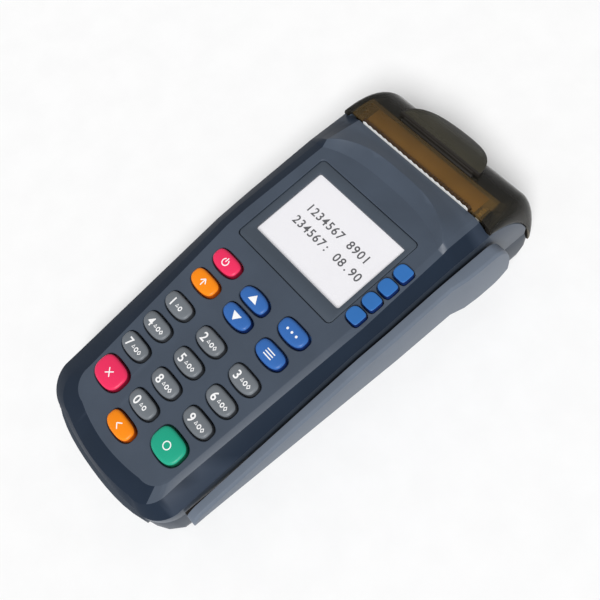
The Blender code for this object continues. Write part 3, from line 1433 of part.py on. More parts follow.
def make_platen():
    """The rubber roller and its shaft, carried by the lid."""
    roller = rod("x", PLATEN_ROUND, -PAPER_HALF, PAPER_HALF, PLATEN_PLACE, 24)
    bore = SHAFT_ROUND + AXLE_FIT
    long = PAPER_HALF + OVERRUN
    cut(roller, rod("x", bore, -long, long, PLATEN_PLACE, SMALL_SIDES))
    keep(roller, "platen_roller", (0.05, 0.05, 0.05), 0.8, smooth=True)
    set_axis(roller, (0, *PLATEN_PLACE))
    half = PLATEN_LUG_X + PLATEN_LUG_THICK - GAP
    shaft = rod("x", SHAFT_ROUND, -half, half, PLATEN_PLACE, SMALL_SIDES)
    keep(shaft, "platen_shaft", (0.60, 0.60, 0.62), 0.3, 1.0)
    set_axis(shaft, (0, *PLATEN_PLACE))


# Lid


def lid_point(y):
    """A point on the lid's curved back, as (y, z), for a place behind its crown."""
    out = (y - LID_CROWN_Y) / (LID_REAR_Y - LID_CROWN_Y)
    share = (1 - out**LID_CURVE_POWER) ** (1 / LID_CURVE_POWER)
    return (y, LID_WAIST_Z + (LID_CROWN_Z - LID_WAIST_Z) * share)


def lid_normal(y):
    """The direction square to the lid's back, as (y, z)."""
    near, far = lid_point(y - SINK), lid_point(y + SINK)
    along = (far[0] - near[0], far[1] - near[1])
    length = math.hypot(*along)
    return (-along[1] / length, along[0] / length)


def lid_profile():
    """The lid's middle line from its front edge over the crown down to its lower rear edge."""
    points = []
    for share in (1.0, 0.5):
        y = between(LID_CROWN_Y, LID_FRONT_Y, share)
        points.append((y, LID_CROWN_Z - LID_NOSE_DROP * share * share))
    long = LID_REAR_Y - LID_CROWN_Y
    tall = LID_CROWN_Z - LID_WAIST_Z
    power = 2 / LID_CURVE_POWER
    for step in range(LID_CURVE_STEPS + 1):
        angle = step / LID_CURVE_STEPS * math.pi / 2
        y = LID_CROWN_Y + long * math.sin(angle) ** power
        points.append((y, LID_WAIST_Z + tall * max(math.cos(angle), 0) ** power))
    for share in (0.5, 1.0):
        z = between(LID_WAIST_Z, LID_LOW_Z, share)
        points.append((LID_REAR_Y - LID_TUCK * share * share, z))
    return points


def lid_row(point, share):
    """Points across the lid: skirt, turn, back and mirrored, from right to left."""
    long = CHEEK_LONG + CHEEK_GAP
    tall = CHEEK_TALL + CHEEK_GAP
    angle = math.atan2((point[1] - CHEEK_Z) / tall, (point[0] - CHEEK_Y) / long)
    skirt = (CHEEK_Y + long * math.cos(angle), CHEEK_Z + tall * math.sin(angle))
    half = side_half(skirt[0])
    flat = half - between(LID_TURN_FRONT, LID_TURN_REAR, share)
    row = [Vector((half, *skirt))]
    for step in range(LID_TURN_STEPS + 1):
        turn = (1 - step / LID_TURN_STEPS) * math.pi / 2
        down = LID_TURN_SHARE * (1 - math.cos(turn))
        x = flat + (half - flat) * math.sin(turn)
        y = between(point[0], skirt[0], down)
        row.append(Vector((x, y, between(point[1], skirt[1], down))))
    for column in LID_COLUMN_SHARES:
        row.append(Vector((flat * column, *point)))
    mirrored = [Vector((-place.x, place.y, place.z)) for place in reversed(row[:-1])]
    return row + mirrored


def make_lid():
    """The lid: a curved shell with hinge barrel, platen lugs, tear bar seat and lever slot."""
    bm = bmesh.new()
    profile = lid_profile()
    rows = []
    for index, point in enumerate(profile):
        share = index / (len(profile) - 1)
        rows.append([bm.verts.new(place) for place in lid_row(point, share)])
    for front, rear in zip(rows, rows[1:]):
        for step in range(len(front) - 1):
            bm.faces.new((front[step], rear[step], rear[step + 1], front[step + 1]))
    lid = solidify(bm, "lid", LID_WALL)

    place = (HINGE_Y, HINGE_Z)
    barrel = rod("x", HINGE_ROUND, -HINGE_HALF, HINGE_HALF, place, MID_SIDES)
    web_low = (-HINGE_HALF + SINK, HINGE_Y, HINGE_Z - HINGE_PIN)
    web_high = (HINGE_HALF - SINK, LID_REAR_Y - LID_WALL / 2, HINGE_Z + HINGE_PIN)
    fuse(lid, barrel, box(web_low, web_high))
    for side in (-1, 1):
        fuse(lid, platen_lug(side))
        low_x, high_x = sorted((side * LID_EAR_X, side * (SIDE_REAR_HALF + OVERRUN)))
        low = (low_x, CHEEK_Y, 0)
        cut(lid, box(low, (high_x, LID_REAR_Y + OVERRUN, LID_EAR_Z)))
    pin_half = HINGE_HALF + OVERRUN
    cut(lid, rod("x", HINGE_PIN + HINGE_FIT, -pin_half, pin_half, place, MID_SIDES))

    seat = TEAR_HALF + GAP
    seat_rear = LID_FRONT_Y + TEAR_THICK + GAP
    low = (-seat, LID_FRONT_Y - OVERRUN, TEAR_LOW - GAP)
    cut(lid, box(low, (seat, seat_rear, LID_CROWN_Z + OVERRUN)))
    slot_half = LEVER_BARREL_HALF + GAP
    low = (-slot_half, LEVER_Y - LEVER_SLOT_FRONT, LEVER_Z - LEVER_THICK - LID_WALL)
    cut(lid, box(low, (slot_half, LEVER_Y + LEVER_SLOT_REAR, LID_CROWN_Z + OVERRUN)))
    bore_half = LEVER_PIN_HALF + GAP
    cut(lid, rod("x", LEVER_PIN + HINGE_FIT, -bore_half, bore_half, (LEVER_Y, LEVER_Z), 8))
    bore = SHAFT_ROUND + AXLE_FIT
    lug_half = PLATEN_LUG_X + PLATEN_LUG_THICK + SINK
    for low, high in ((-lug_half, -PLATE_OUT), (PLATE_OUT, lug_half)):
        cut(lid, rod("x", bore, low, high, PLATEN_PLACE, SMALL_SIDES))
    keep(lid, "printer_lid", (0.20, 0.16, 0.10), 0.15, alpha=0.85)
    set_axis(lid, (0, HINGE_Y, HINGE_Z))


def platen_lug(side):
    """A lug under the lid that carries one end of the platen's shaft."""
    outline = []
    for step in range(9):
        angle = math.pi + step * math.pi / 8
        outline.append(away(PLATEN_PLACE, PLATEN_LUG_ROUND, angle))
    top = LID_CROWN_Z - LID_NOSE_DROP / 2 - LID_WALL + SINK
    outline.append((PLATEN_Y + PLATEN_LUG_ROUND, top))
    outline.append((PLATEN_Y - PLATEN_LUG_ROUND, top))
    far = PLATEN_LUG_X + PLATEN_LUG_THICK
    low, high = (PLATEN_LUG_X, far) if side > 0 else (-far, -PLATEN_LUG_X)
    return slab("YZ", [outline], low, high)


def make_hinge_pin():
    """The pin through the base's lugs and the lid's barrel."""
    half = HINGE_HALF + GAP + LUG_THICK
    pin = rod("x", HINGE_PIN, -half, half, (HINGE_Y, HINGE_Z), SMALL_SIDES)
    keep(pin, "lid_hinge_pin", (0.60, 0.60, 0.62), 0.3, 1.0)
    set_axis(pin, (0, HINGE_Y, HINGE_Z))


def make_tear_bar():
    """The toothed strip on the lid's front edge."""
    outline = zigzag(TEAR_HALF, TEAR_LOW, TEAR_TOP, TEAR_TOOTH, TEAR_COUNT)
    bar = slab("ZX", [outline], LID_FRONT_Y, LID_FRONT_Y + TEAR_THICK)
    keep(bar, "tear_bar", (0.06, 0.04, 0.03), 0.4)


LEVER_Z = lid_point(LEVER_Y)[1] - LID_WALL / 2


def make_lever():
    """The D shaped lever that lies on the lid's back, with its barrel and two latch fingers."""
    chord = LEVER_Y + LEVER_CHORD
    long = LEVER_LONG - LEVER_CHORD
    rings = []
    for step in range(LEVER_STEPS):
        share = math.sin(step / (LEVER_STEPS - LEVER_SHORT) * math.pi / 2)
        y = chord + long * share
        half = LEVER_HALF * math.sqrt(1 - share * share)
        point, normal = lid_point(y), lid_normal(y)
        lift = LEVER_LIFT + LEVER_TIP_LIFT * share
        under = [point[axis] + normal[axis] * lift for axis in (0, 1)]
        top = [point[axis] + normal[axis] * (lift + LEVER_THICK) for axis in (0, 1)]
        rings.append([(-half, *under), (half, *under), (half, *top), (-half, *top)])
    lever = loft(rings)
    half = LEVER_BARREL_HALF
    plate_under = LEVER_Z + LID_WALL / 2 + LEVER_LIFT + SINK
    barrel = rod("x", LEVER_BARREL, -half, half, (LEVER_Y, LEVER_Z), SMALL_SIDES)
    low = (SINK - half, LEVER_Y + GAP, LEVER_Z - GAP)
    web = box(low, (half - SINK, chord + LEVER_WEB, plate_under))
    fuse(lever, web, barrel)
    for side in (-1, 1):
        x = side * FINGER_X
        low = (x - FINGER_HALF, LEVER_Y + FINGER_NEAR, LEVER_Z - FINGER_LONG)
        finger = box(low, (x + FINGER_HALF, LEVER_Y + FINGER_FAR, plate_under - GAP))
        fuse(lever, finger)
    bore = half + OVERRUN
    cut(lever, rod("x", LEVER_PIN + HINGE_FIT, -bore, bore, (LEVER_Y, LEVER_Z), 8))
    keep(lever, "lid_lever", (0.20, 0.15, 0.08), 0.2)
    set_axis(lever, (0, LEVER_Y, LEVER_Z))
    half = LEVER_PIN_HALF
    pin = rod("x", LEVER_PIN, -half, half, (LEVER_Y, LEVER_Z), 8)
    keep(pin, "lever_pin", (0.60, 0.60, 0.62), 0.3, 1.0)
    set_axis(pin, (0, LEVER_Y, LEVER_Z))


def main():
    """Build every piece."""
    make_top_cover(key_holes())
    make_base_cover()
    make_battery()
    make_feet()
    make_case_screws()
    make_keys()
    make_mats()
    make_main_board()
    make_screen()
    make_card_reader()
    make_speaker()
    make_rail()
    make_magnetic_head()
    make_paper()
    make_printer_frame()
    make_print_head()
    make_gears()
    make_platen()
    make_lid()
    make_hinge_pin()
    make_tear_bar()
    make_lever()


main()
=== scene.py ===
"""A counter card payment terminal: the looks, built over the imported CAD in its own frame.

Lengths are metres, drawn in the part's working frame: x = 0 on the middle column of keys, y = 0 on
the row of keys 1 2 3, z = 0 on the table and +y to the rear. The key faces and the screen have
tilted frames of their own.
"""

import math

import bmesh
import bpy
from mathutils import Matrix, Quaternion, Vector


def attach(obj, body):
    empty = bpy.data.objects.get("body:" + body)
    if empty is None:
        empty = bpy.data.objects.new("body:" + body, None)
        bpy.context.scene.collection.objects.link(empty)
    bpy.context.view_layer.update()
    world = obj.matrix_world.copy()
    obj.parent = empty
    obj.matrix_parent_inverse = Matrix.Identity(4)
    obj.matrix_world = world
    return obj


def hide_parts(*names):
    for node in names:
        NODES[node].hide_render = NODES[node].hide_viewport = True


# The part's lengths
GAP = 0.0003  # running gap between pieces that touch or seat
OVERRUN = 0.0020  # how far a cutter runs past what it cuts
SINK = 0.0006  # how far a fused feature is sunk into its wall
PAPER_HALF = 0.0285
CASE_MORE = 0.0117  # from the paper's edge out to the side wall
FACE_UP = 0.0400  # height of the face at the first row of number keys
KEYPAD_SLOPE = math.radians(10.0)
SCREEN_SLOPE = math.radians(4.67)
BEND_Y = 0.0345  # where the keypad face meets the screen face
LEVEL_Y = 0.0840  # where the screen face turns level, under the brow
WALL = 0.0022
SEAM_UP = 0.0215  # lower edge of the top cover
FRONT_Y = -0.0576  # front wall, at its ends
FRONT_BOW = 0.0026  # how far its middle stands forward
FRONT_CORNER = 0.0130
LAST_ROW_Y = -0.0380  # last straight row before the front corners
SIDE_TAPER = 0.0020  # how much narrower each side is at the front
SIDE_REAR_HALF = PAPER_HALF + CASE_MORE
SIDE_FRONT_HALF = SIDE_REAR_HALF - SIDE_TAPER
SIDE_WIDE_Y = 0.0500  # where the case reaches its full width
SIDE_DROP = 0.0048  # how far the side wall's top lies below the face
FRONT_DROP = 0.0062  # the same at the front
RIDGE_FRONT_IN = 0.0066  # from the side wall in to the ridge
RIDGE_WIDE_IN = 0.0038
RIDGE_REAR_IN = 0.0052
RIDGE_FRONT_HALF = SIDE_FRONT_HALF - RIDGE_FRONT_IN
RIDGE_WIDE_HALF = SIDE_REAR_HALF - RIDGE_WIDE_IN
RIDGE_REAR_HALF = SIDE_REAR_HALF - RIDGE_REAR_IN
RIDGE_WIDE_Y = 0.0400
RIDGE_INSET = 0.0014  # how far the ridge stays behind the front wall
RIDGE_CORNER = 0.0110
RIDGE_DROP_RIGHT = 0.0008
RIDGE_DROP_LEFT = 0.0020
RIDGE_DROP_FRONT = 0.0034
RIM_WIDE = 0.0025  # from the ridge in to the crease, at the sides
RIM_LEFT_MORE = 0.0018  # the left rim is wider by this
RIM_FRONT = 0.0069  # from the ridge back to the crease, at the front
CREASE_CORNER = 0.0090
SLOT_Y = 0.1017  # front lip of the paper slot
BROW_RISE = 0.0035
CREST_MIDDLE_Y = 0.0948
CREST_SIDE_Y = 0.0854
FOOT_MIDDLE_Y = 0.0868
FOOT_SIDE_Y = 0.0820
BROW_FADE_X = 0.0270  # from here out the brow gets lower
BROW_FADE_SHARE = 0.75
CHEEK_Y = 0.0990
CHEEK_Z = 0.0092
CHEEK_LONG = 0.0285
CHEEK_TALL = 0.0365
CHEEK_GAP = 0.0004
LIP_OUT = 0.0018  # how far the card lip stands out of the front wall
KEYPAD_X = 0.0003  # middle column
KEYPAD_S = 0.0004  # first row, along the face
KEY_X = 0.0200  # column pitch
KEY_S = 0.0111  # row pitch, along the face
KEY_RISE = 0.0016
KEY_GAP = 0.0005
KEY_FLANGE = 0.0009
KEY_FLANGE_THICK = 0.0009
NUMBER_HALF = 0.0068
NUMBER_REACH = 0.0038
ARROW_REACH = 0.0035
BIG_HALF = 0.0073
BIG_REACH = 0.0056
SOFT_X = 0.0313
SOFT_MIDDLE = 0.0215  # from the bend to the middle of the four
SOFT_S = 0.00765  # pitch of the soft keys
SOFT_HALF = 0.0033
SOFT_REACH = 0.0031
SCREEN_MIDDLE_X = 0.0006
SCREEN_MIDDLE = 0.0239  # from the bend to the middle of the lit screen
SCREEN_HALF = 0.0236
SCREEN_REACH = 0.0163
BEZEL_SIDE = 0.0027  # from the lit screen out to the right edge of the recess
BEZEL_FRONT = 0.0068
BEZEL_REAR = 0.0052
RECESS_HALF = SCREEN_HALF + SCREEN_MIDDLE_X + BEZEL_SIDE
RECESS_FRONT = SCREEN_MIDDLE - SCREEN_REACH - BEZEL_FRONT
RECESS_LONG = BEZEL_FRONT + 2 * SCREEN_REACH + BEZEL_REAR
RECESS_CORNER = 0.0020
BEZEL_SINK = 0.0005
BEZEL_THICK = 0.0016
SLOT_WIDE = 0.0022
RAIL_THICK = 0.0040
RAIL_FRONT_Y = -0.0445
RAIL_REAR_Y = 0.1070
RAIL_LOW = 0.0225
RAIL_FLOOR = 0.0016
RAIL_LEVEL_Y = 0.0740
RAIL_TOP_EDGE = 0.0010
PADDLE_START_Y = 0.0780
PADDLE_OUT = 0.0012
PADDLE_DOWN = 0.0028
PADDLE_NOSE = 0.0090  # length of the rounded rear end
RAIL_ENTRY = 0.0050  # length of the rounded front end
NOSE_TALL_SHARE = 0.35
HEAD_Y = 0.0925
HEAD_Z = 0.0365
HEAD_LONG_HALF = 0.0042
HEAD_TALL_HALF = 0.0042
HEAD_DEEP = 0.0016
HEAD_TRAVEL = 0.0006
SPRING_THICK = 0.0004
POCKET_DEEP = HEAD_DEEP + HEAD_TRAVEL + SPRING_THICK + 2 * GAP
ROLL_Y = 0.1095
ROLL_Z = 0.0214
ROLL_ROUND = 0.0175
ROLL_BORE = 0.0060
PLATEN_Y = 0.1062
PLATEN_Z = 0.0433
SHAFT_ROUND = 0.0015
FRAME_THICK = 0.0012
AXLE_FIT = 0.0001
LID_WALL = 0.0020
LID_FRONT_Y = 0.1024
LID_CROWN_Y = 0.1075
LID_CROWN_Z = 0.05085
LID_NOSE_DROP = 0.00065
LID_REAR_Y = 0.1324
LID_WAIST_Z = 0.0180
LID_LOW_Z = 0.0105
LID_TUCK = 0.00045
LID_CURVE_POWER = 2.25
LID_TURN_SHARE = 0.86
LID_TURN_FRONT = 0.0050
LID_TURN_REAR = 0.0090
LID_COLUMN_SHARES = (0.62, 0.0)
LID_EAR_MORE = 0.0058  # this far out from the paper's edge the lid stops above the hinge
LID_EAR_X = PAPER_HALF + LID_EAR_MORE
LID_EAR_Z = 0.0132
HINGE_Y = 0.1278
HINGE_Z = 0.0120
HINGE_ROUND = 0.0022
HINGE_PIN = 0.0009
HINGE_FIT = 0.0001
HINGE_MORE = 0.0017  # how far the barrel reaches past the paper
HINGE_HALF = PAPER_HALF + HINGE_MORE
PLATEN_LUG_MORE = 0.0047  # from the paper's edge out to the lug
PLATEN_LUG_X = PAPER_HALF + PLATEN_LUG_MORE
PLATEN_LUG_THICK = 0.0018
PLATEN_LUG_ROUND = 0.0024
TEAR_MORE = 0.0005  # how far the teeth reach past the paper
TEAR_HALF = PAPER_HALF + TEAR_MORE
TEAR_THICK = 0.0008
TEAR_LOW = 0.0470
LEVER_Y = 0.1142  # its hinge
LEVER_LIFT = 0.00025
LEVER_TIP_LIFT = 0.0026  # how much further its tip stands off the lid
LEVER_THICK = 0.0014
LEVER_HALF = 0.0210
LEVER_LONG = 0.0133
LEVER_CHORD = 0.0006
LEVER_SHORT = 0.5  # how far the last step stays from the middle line, in steps
LEVER_BARREL = 0.0010
LEVER_BARREL_HALF = 0.0190
LEVER_PIN = 0.00045
LEVER_PIN_HALF = 0.0215
LEVER_WEB = 0.0013
LEVER_SLOT_FRONT = 0.0013
LEVER_SLOT_REAR = 0.0046
FINGER_X = 0.0140
FINGER_HALF = 0.0012
FINGER_NEAR = 0.0010
FINGER_FAR = 0.0024
FINGER_LONG = 0.0052

# Finer steps than the part's
BROW_BACK_SHARES = (0.0, 0.25, 0.5, 0.7, 0.85, 0.95, 1.0)
BROW_FRONT_STEPS = 8
SCREEN_STEPS = 8
KEYPAD_STEPS = 10
CORNER_STEPS = 12
FACE_COLUMNS = 32
CHEEK_STEPS = 16
CHEEK_END = 0.462  # angle at which the cheek's curve ends
KEY_SIDES = 56
KEY_ROUND_STEPS = 5
KEY_CROWN_STEPS = 5
RAIL_END_STEPS = 10
RAIL_STEPS = 20
LID_CURVE_STEPS = 36
LID_TURN_STEPS = 10
LEVER_STEPS = 24
LUG_STEPS = 16
SCREEN_STEP_POWER = 1.6  # the screen's rows get denser toward the brow
CREST_POWER = 8
ROW_BEND_POWER = 3
LID_NOSE_SHARES = (1.0, 0.66, 0.33)
LID_SKIRT_SHARES = (0.25, 0.5, 0.75, 1.0)
ROD_SIDES = 48
BARREL_SIDES = 24
PIN_SIDES = 12
ROLL_SIDES = 96
ROLL_BORE_SIDES = 64
RECESS_STEPS = 8
EDGE_STEPS = 2
RIM_STEPS = 3

# Roundings and other small shapes
CREST_SOFT_SHARE = 0.01
BROW_RAMP_SHARE = 0.75
RIM_SHADE_END_X = 0.0275  # left of this the rim band is painted dark as shade; right of it the rim has the face's finish
RIDGE_ROUND = 0.0007
CREASE_SHARE = 0.7  # roundings as shares of the ridge's
SHOULDER_SHARE = 0.4
EDGE_ROUND = 0.0002
LEVER_LINE = 0.0007
LEVER_LINE_END = 0.0001
RAIL_ROUND = 0.0003
BEZEL_ROUND = 0.00015
HOLE_CHAMFER = 0.00025
KEY_CROWN = 0.00040
KEY_ROUND = 0.0012
FLANK_SHARE = 0.55  # faces of a key that look up by less than this are its flank, painted darker as shade
SLOT_SIDE_SHARE = 0.5  # faces of the rail that look in or up by more than this line the slot, painted black as its shade
LEVER_SIDE_SHARE = 0.93  # faces of the lever that look up by less than this are its edge, painted dark as shade
SOFT_CROWN = 0.00005
SOFT_ROUND = 0.0004
SOFT_HOLE_GAP = 0.0004
LID_PLATE_HALF = 0.0300
LID_PLATE_FRONT_Y = 0.1040
LID_PLATE_REAR_Y = 0.1122
LID_PLATE_LOW = 0.0478
LID_PLATE_THICK = 0.0006
WELD = 0.00001

# Angles in degrees: shading breaks, and roundings start, at edges sharper than these
FLAT_ANGLE = 0.6
SOFT_ANGLE = 32
COVER_SOFT_ANGLE = 30
RAIL_SOFT_ANGLE = 25
LID_SOFT_ANGLE = 35
KEY_SOFT_ANGLE = 50
ROLL_SOFT_ANGLE = 40
EDGE_ANGLE = 50
COVER_EDGE_ANGLE = 55
RAIL_EDGE_ANGLE = 28

# Print
INK_LIFT = 0.00003
PRINT_CUTS = 3
STROKE = 0.00022
DIGIT_SHARE = 0.72  # height of a digit at font size 1
BOLD_SHARE = 0.022
DIGIT_TALL = 0.0036
DIGIT_U = -0.0026
MARK_U = 0.0002
MARK_STEP = 0.0018
MARK_V = -0.0002
MARK_HALF = 0.0008
MARK_REACH = 0.0010
MARK_INNER_SHARE = 0.55
MARK_SIDES = (3, 16, 4)
FEW_MARKS = 2
FEW_MARK_KEYS = ("key_0", "key_1")
BAR_STEPS = 3
BAR_ROUND_SHARE = 0.9
ARC_STEPS = 24
ARROW_WIDE = 1.1  # shares of an arrow's size
ARROW_FOOT = 0.62
ARROW_TIP = 0.9
SCREEN_TEXT_REAR = "1234567 8901"
SCREEN_TEXT_FRONT = "234567: 08.90"
TEXT_REAR_S = 0.0264
TEXT_FRONT_S = 0.0194
TEXT_X = -0.0152
TEXT_STEP = 0.0029
TEXT_TALL = 0.0036

# Finishes
SECOND = 1  # index of a piece's second finish
THIRD = 2
SHEEN = 0.2
RIM_SHEEN = 0.05
MOTTLE_SCALE = 60
MOTTLE_DETAIL = 4
MOTTLE_ENDS = (0.35, 0.65)
GRAIN_DETAIL = 3
BUMP_STRENGTH = 0.5
WEAR_HIGHLIGHT_EDGE = (0.52, 0.62)  # pointiness at which the lighter edge, wear and painted highlight, starts and is full
WEAR_HIGHLIGHT_GAIN = 1.9
WEAR_HIGHLIGHT_LIFT = 0.02
KEY_ROUGH = 0.36
KEY_GRAIN = 0.0006
KEY_GRAIN_DEEP = 0.000008
KEY_MOTTLE = 0.04
KEY_SPREAD = 0.05
FLANK_ROUGH = 0.42
FLANK_MOTTLE = 0.08
SMOKE_ALPHA = 0.6
SMOKE_ROUGH = 0.12
SMOKE_SPREAD = 0.03
SMOKE_MOTTLE = 0.10
SMOKE_BEND = 1.35
LIT_BASE_SHARE = 0.5
LIT_MOTTLE = 0.01

# Surroundings
FLOOR_ROUND = 3.0
FLOOR_SIDES = 96
AMBIENT = 0.18
LAMP_PLACE = (0.75, -0.80, 1.30)
LAMP_AIM = (0, 0, 0.03)
LAMP_SPREAD = 24  # degrees
LAMP_POWER = 3.6
CAMERA_PLACE = (0.12695, -0.05954, 0.30432)
CAMERA_AIM = (0.005864, 0.000454, 0.040)
CAMERA_ROLL = -15.15  # degrees
CAMERA_NEAR = 0.01
LENS = 48  # mm
SENSOR = 36  # mm

# Scene helpers

# Middle of the part, which its own frame is drawn round
CENTRE_X = (SIDE_REAR_HALF + SLOT_WIDE + RAIL_THICK + PADDLE_OUT - SIDE_REAR_HALF) / 2
CENTRE_Y = (FRONT_Y - FRONT_BOW - LIP_OUT + LID_REAR_Y) / 2

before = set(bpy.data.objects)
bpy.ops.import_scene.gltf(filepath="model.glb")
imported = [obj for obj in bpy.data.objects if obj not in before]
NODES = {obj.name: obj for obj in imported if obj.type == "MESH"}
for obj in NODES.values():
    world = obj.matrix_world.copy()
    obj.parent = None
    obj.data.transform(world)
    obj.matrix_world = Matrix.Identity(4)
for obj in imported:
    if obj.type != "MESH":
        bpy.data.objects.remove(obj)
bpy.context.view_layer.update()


def between(start, end, share):
    """A value part way from one to another."""
    return start + (end - start) * share


def face_height(y):
    """Height of the keypad and screen face, without the brow."""
    keypad = FACE_UP + min(y, BEND_Y) * math.tan(KEYPAD_SLOPE)
    screen = min(max(y, BEND_Y), LEVEL_Y) - BEND_Y
    return keypad + screen * math.tan(SCREEN_SLOPE)


def side_half(y):
    """Half width of the side walls: a straight taper to the front, then parallel."""
    share = (y - LAST_ROW_Y) / (SIDE_WIDE_Y - LAST_ROW_Y)
    return between(SIDE_FRONT_HALF, SIDE_REAR_HALF, min(max(share, 0), 1))


# These lay a cylinder along x, and stand a flat outline up in y and z.
ALONG_X = Matrix.Rotation(math.pi / 2, 4, "Y")
SIDE_PLANE = Matrix(((0, 0, 1, 0), (1, 0, 0, 0), (0, 1, 0, 0), (0, 0, 0, 1)))
ROOT = Matrix.Translation((-CENTRE_X, -CENTRE_Y, 0))
KEYPAD = ROOT @ Matrix.Translation((0, 0, FACE_UP)) @ Matrix.Rotation(KEYPAD_SLOPE, 4, "X")
BEND = Matrix.Translation((0, BEND_Y, face_height(BEND_Y)))
SCREEN = ROOT @ BEND @ Matrix.Rotation(SCREEN_SLOPE, 4, "X")


def smooth_share(share):
    """A share from 0 to 1 that starts and ends gently."""
    share = min(max(share, 0), 1)
    return share * share * (3 - 2 * share)


def linked(name, data):
    """A new object in the scene."""
    made = bpy.data.objects.new(name, data)
    bpy.context.scene.collection.objects.link(made)
    return made


def finished_mesh(obj):
    """A new mesh of an object with all its modifiers."""
    read = obj.evaluated_get(bpy.context.evaluated_depsgraph_get())
    return bpy.data.meshes.new_from_object(read)


def new_piece(name, bm, place=ROOT, turned=False):
    """A mesh object; place is the frame its points lie in, turned if its faces look out."""
    if not turned:
        bmesh.ops.recalc_face_normals(bm, faces=bm.faces)
    bmesh.ops.transform(bm, matrix=place, verts=bm.verts)
    mesh = bpy.data.meshes.new(name)
    bm.to_mesh(mesh)
    bm.free()
    return linked(name, mesh)


def bake(obj):
    """Apply all modifiers."""
    mesh = finished_mesh(obj)
    obj.modifiers.clear()
    obj.data = mesh
    return obj


def boolean(obj, operation, tools):
    """Apply boolean steps and remove the tools."""
    for tool in tools:
        modifier = obj.modifiers.new(operation, "BOOLEAN")
        modifier.operation = operation
        modifier.solver = "EXACT"
        modifier.object = tool
    bake(obj)
    for tool in tools:
        bpy.data.objects.remove(tool, do_unlink=True)


def cut(obj, *tools):
    """Take each tool out of the object."""
    boolean(obj, "DIFFERENCE", tools)


def fuse(obj, *tools):
    """Join each tool to the object."""
    boolean(obj, "UNION", tools)


def round_edges(obj, width, segments=EDGE_STEPS, angle=EDGE_ANGLE):
    """Round the edges that are sharper than an angle."""
    modifier = obj.modifiers.new("round", "BEVEL")
    modifier.width = width
    modifier.segments = segments
    modifier.limit_method = "ANGLE"
    modifier.angle_limit = math.radians(angle)
    return bake(obj)


def thicken(obj, thickness, rim=0):
    """A wall on the inner side of an open surface; rim is the finish of its edge."""
    modifier = obj.modifiers.new("wall", "SOLIDIFY")
    modifier.thickness = thickness
    modifier.offset = -1
    modifier.material_offset_rim = rim
    bake(obj)


def smooth(obj, angle=SOFT_ANGLE):
    """Smooth shading that breaks at sharp edges."""
    obj.data.shade_smooth()
    obj.data.set_sharp_from_angle(angle=math.radians(angle))
    return obj


def dress(obj, body, slot, material, *nodes):
    """Give a piece its finish and body, and hide the nodes that it stands for."""
    if not obj.data.materials:
        obj.data.materials.append(material)
    obj.data.materials[0] = material
    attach(obj, body)
    for node in nodes:
        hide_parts(node)


def box(low, high, name="box"):
    """A box between two corners."""
    bm = bmesh.new()
    size = [b - a for a, b in zip(low, high)]
    middle = [(a + b) / 2 for a, b in zip(low, high)]
    matrix = Matrix.Translation(middle) @ Matrix.Diagonal((*size, 1))
    bmesh.ops.create_cube(bm, size=1, matrix=matrix)
    return new_piece(name, bm)


def rod(radius, low, high, across, sides=ROD_SIDES, name="rod"):
    """A cylinder along x; across gives its place on y and z."""
    bm = bmesh.new()
    bmesh.ops.create_cone(
        bm,
        cap_ends=True,
        segments=sides,
        radius1=radius,
        radius2=radius,
        depth=high - low,
        matrix=Matrix.Translation(((low + high) / 2, *across)) @ ALONG_X,
    )
    return new_piece(name, bm)


def flat_curve(outlines):
    """A filled flat curve through closed outlines."""
    curve = bpy.data.curves.new("outline", "CURVE")
    curve.dimensions = "2D"
    curve.fill_mode = "BOTH"
    for outline in outlines:
        spline = curve.splines.new("POLY")
        spline.points.add(len(outline) - 1)
        spline.use_cyclic_u = True
        for point, (u, v) in zip(spline.points, outline):
            point.co = (u, v, 0, 1)
    return curve


def filled(curve):
    """The faces of a curve, to be worked on."""
    guide = linked("outline", curve)
    mesh = finished_mesh(guide)
    bpy.data.objects.remove(guide, do_unlink=True)
    bm = bmesh.new()
    bm.from_mesh(mesh)
    bpy.data.meshes.remove(mesh)
    return bm


def slab(outline, low, high):
    """A flat outline in y and z, thick from one x to another."""
    curve = flat_curve([outline])
    curve.extrude = (high - low) / 2
    bm = filled(curve)
    bmesh.ops.remove_doubles(bm, verts=bm.verts, dist=WELD)
    lift = Matrix.Translation((0, 0, (low + high) / 2))
    bmesh.ops.transform(bm, matrix=SIDE_PLANE @ lift, verts=bm.verts)
    return new_piece("slab", bm)


def add_strip(bm, lower, upper, closed=False, finish=0):
    """Faces between two rows of vertices."""
    pairs = list(zip(lower, upper))
    if closed:
        pairs.append(pairs[0])
    for (a, b), (c, d) in zip(pairs, pairs[1:]):
        bm.faces.new((a, b, d, c)).material_index = finish


def loft(rings, place=ROOT, name="loft"):
    """A closed solid through rings of points of equal count, with flat ends."""
    bm = bmesh.new()
    rows = [[bm.verts.new(point) for point in ring] for ring in rings]
    for lower, upper in zip(rows, rows[1:]):
        add_strip(bm, lower, upper, closed=True)
    bm.faces.new(rows[0])
    bm.faces.new(rows[-1])
    return new_piece(name, bm, place)


def joined(tools):
    """One mesh of several tools that lie apart."""
    bm = bmesh.new()
    for tool in tools:
        bm.from_mesh(tool.data)
        bpy.data.objects.remove(tool, do_unlink=True)
    return new_piece("tools", bm, Matrix.Identity(4))


def refined(node, width):
    """A copy of a CAD node with its sharp edges rounded."""
    bm = bmesh.new()
    bm.from_mesh(NODES[node].data)
    bmesh.ops.remove_doubles(bm, verts=bm.verts, dist=WELD)
    bmesh.ops.dissolve_limit(
        bm, angle_limit=math.radians(FLAT_ANGLE), verts=bm.verts, edges=bm.edges
    )
    made = new_piece(node + "_shell", bm, Matrix.Identity(4))
    return smooth(round_edges(made, width))


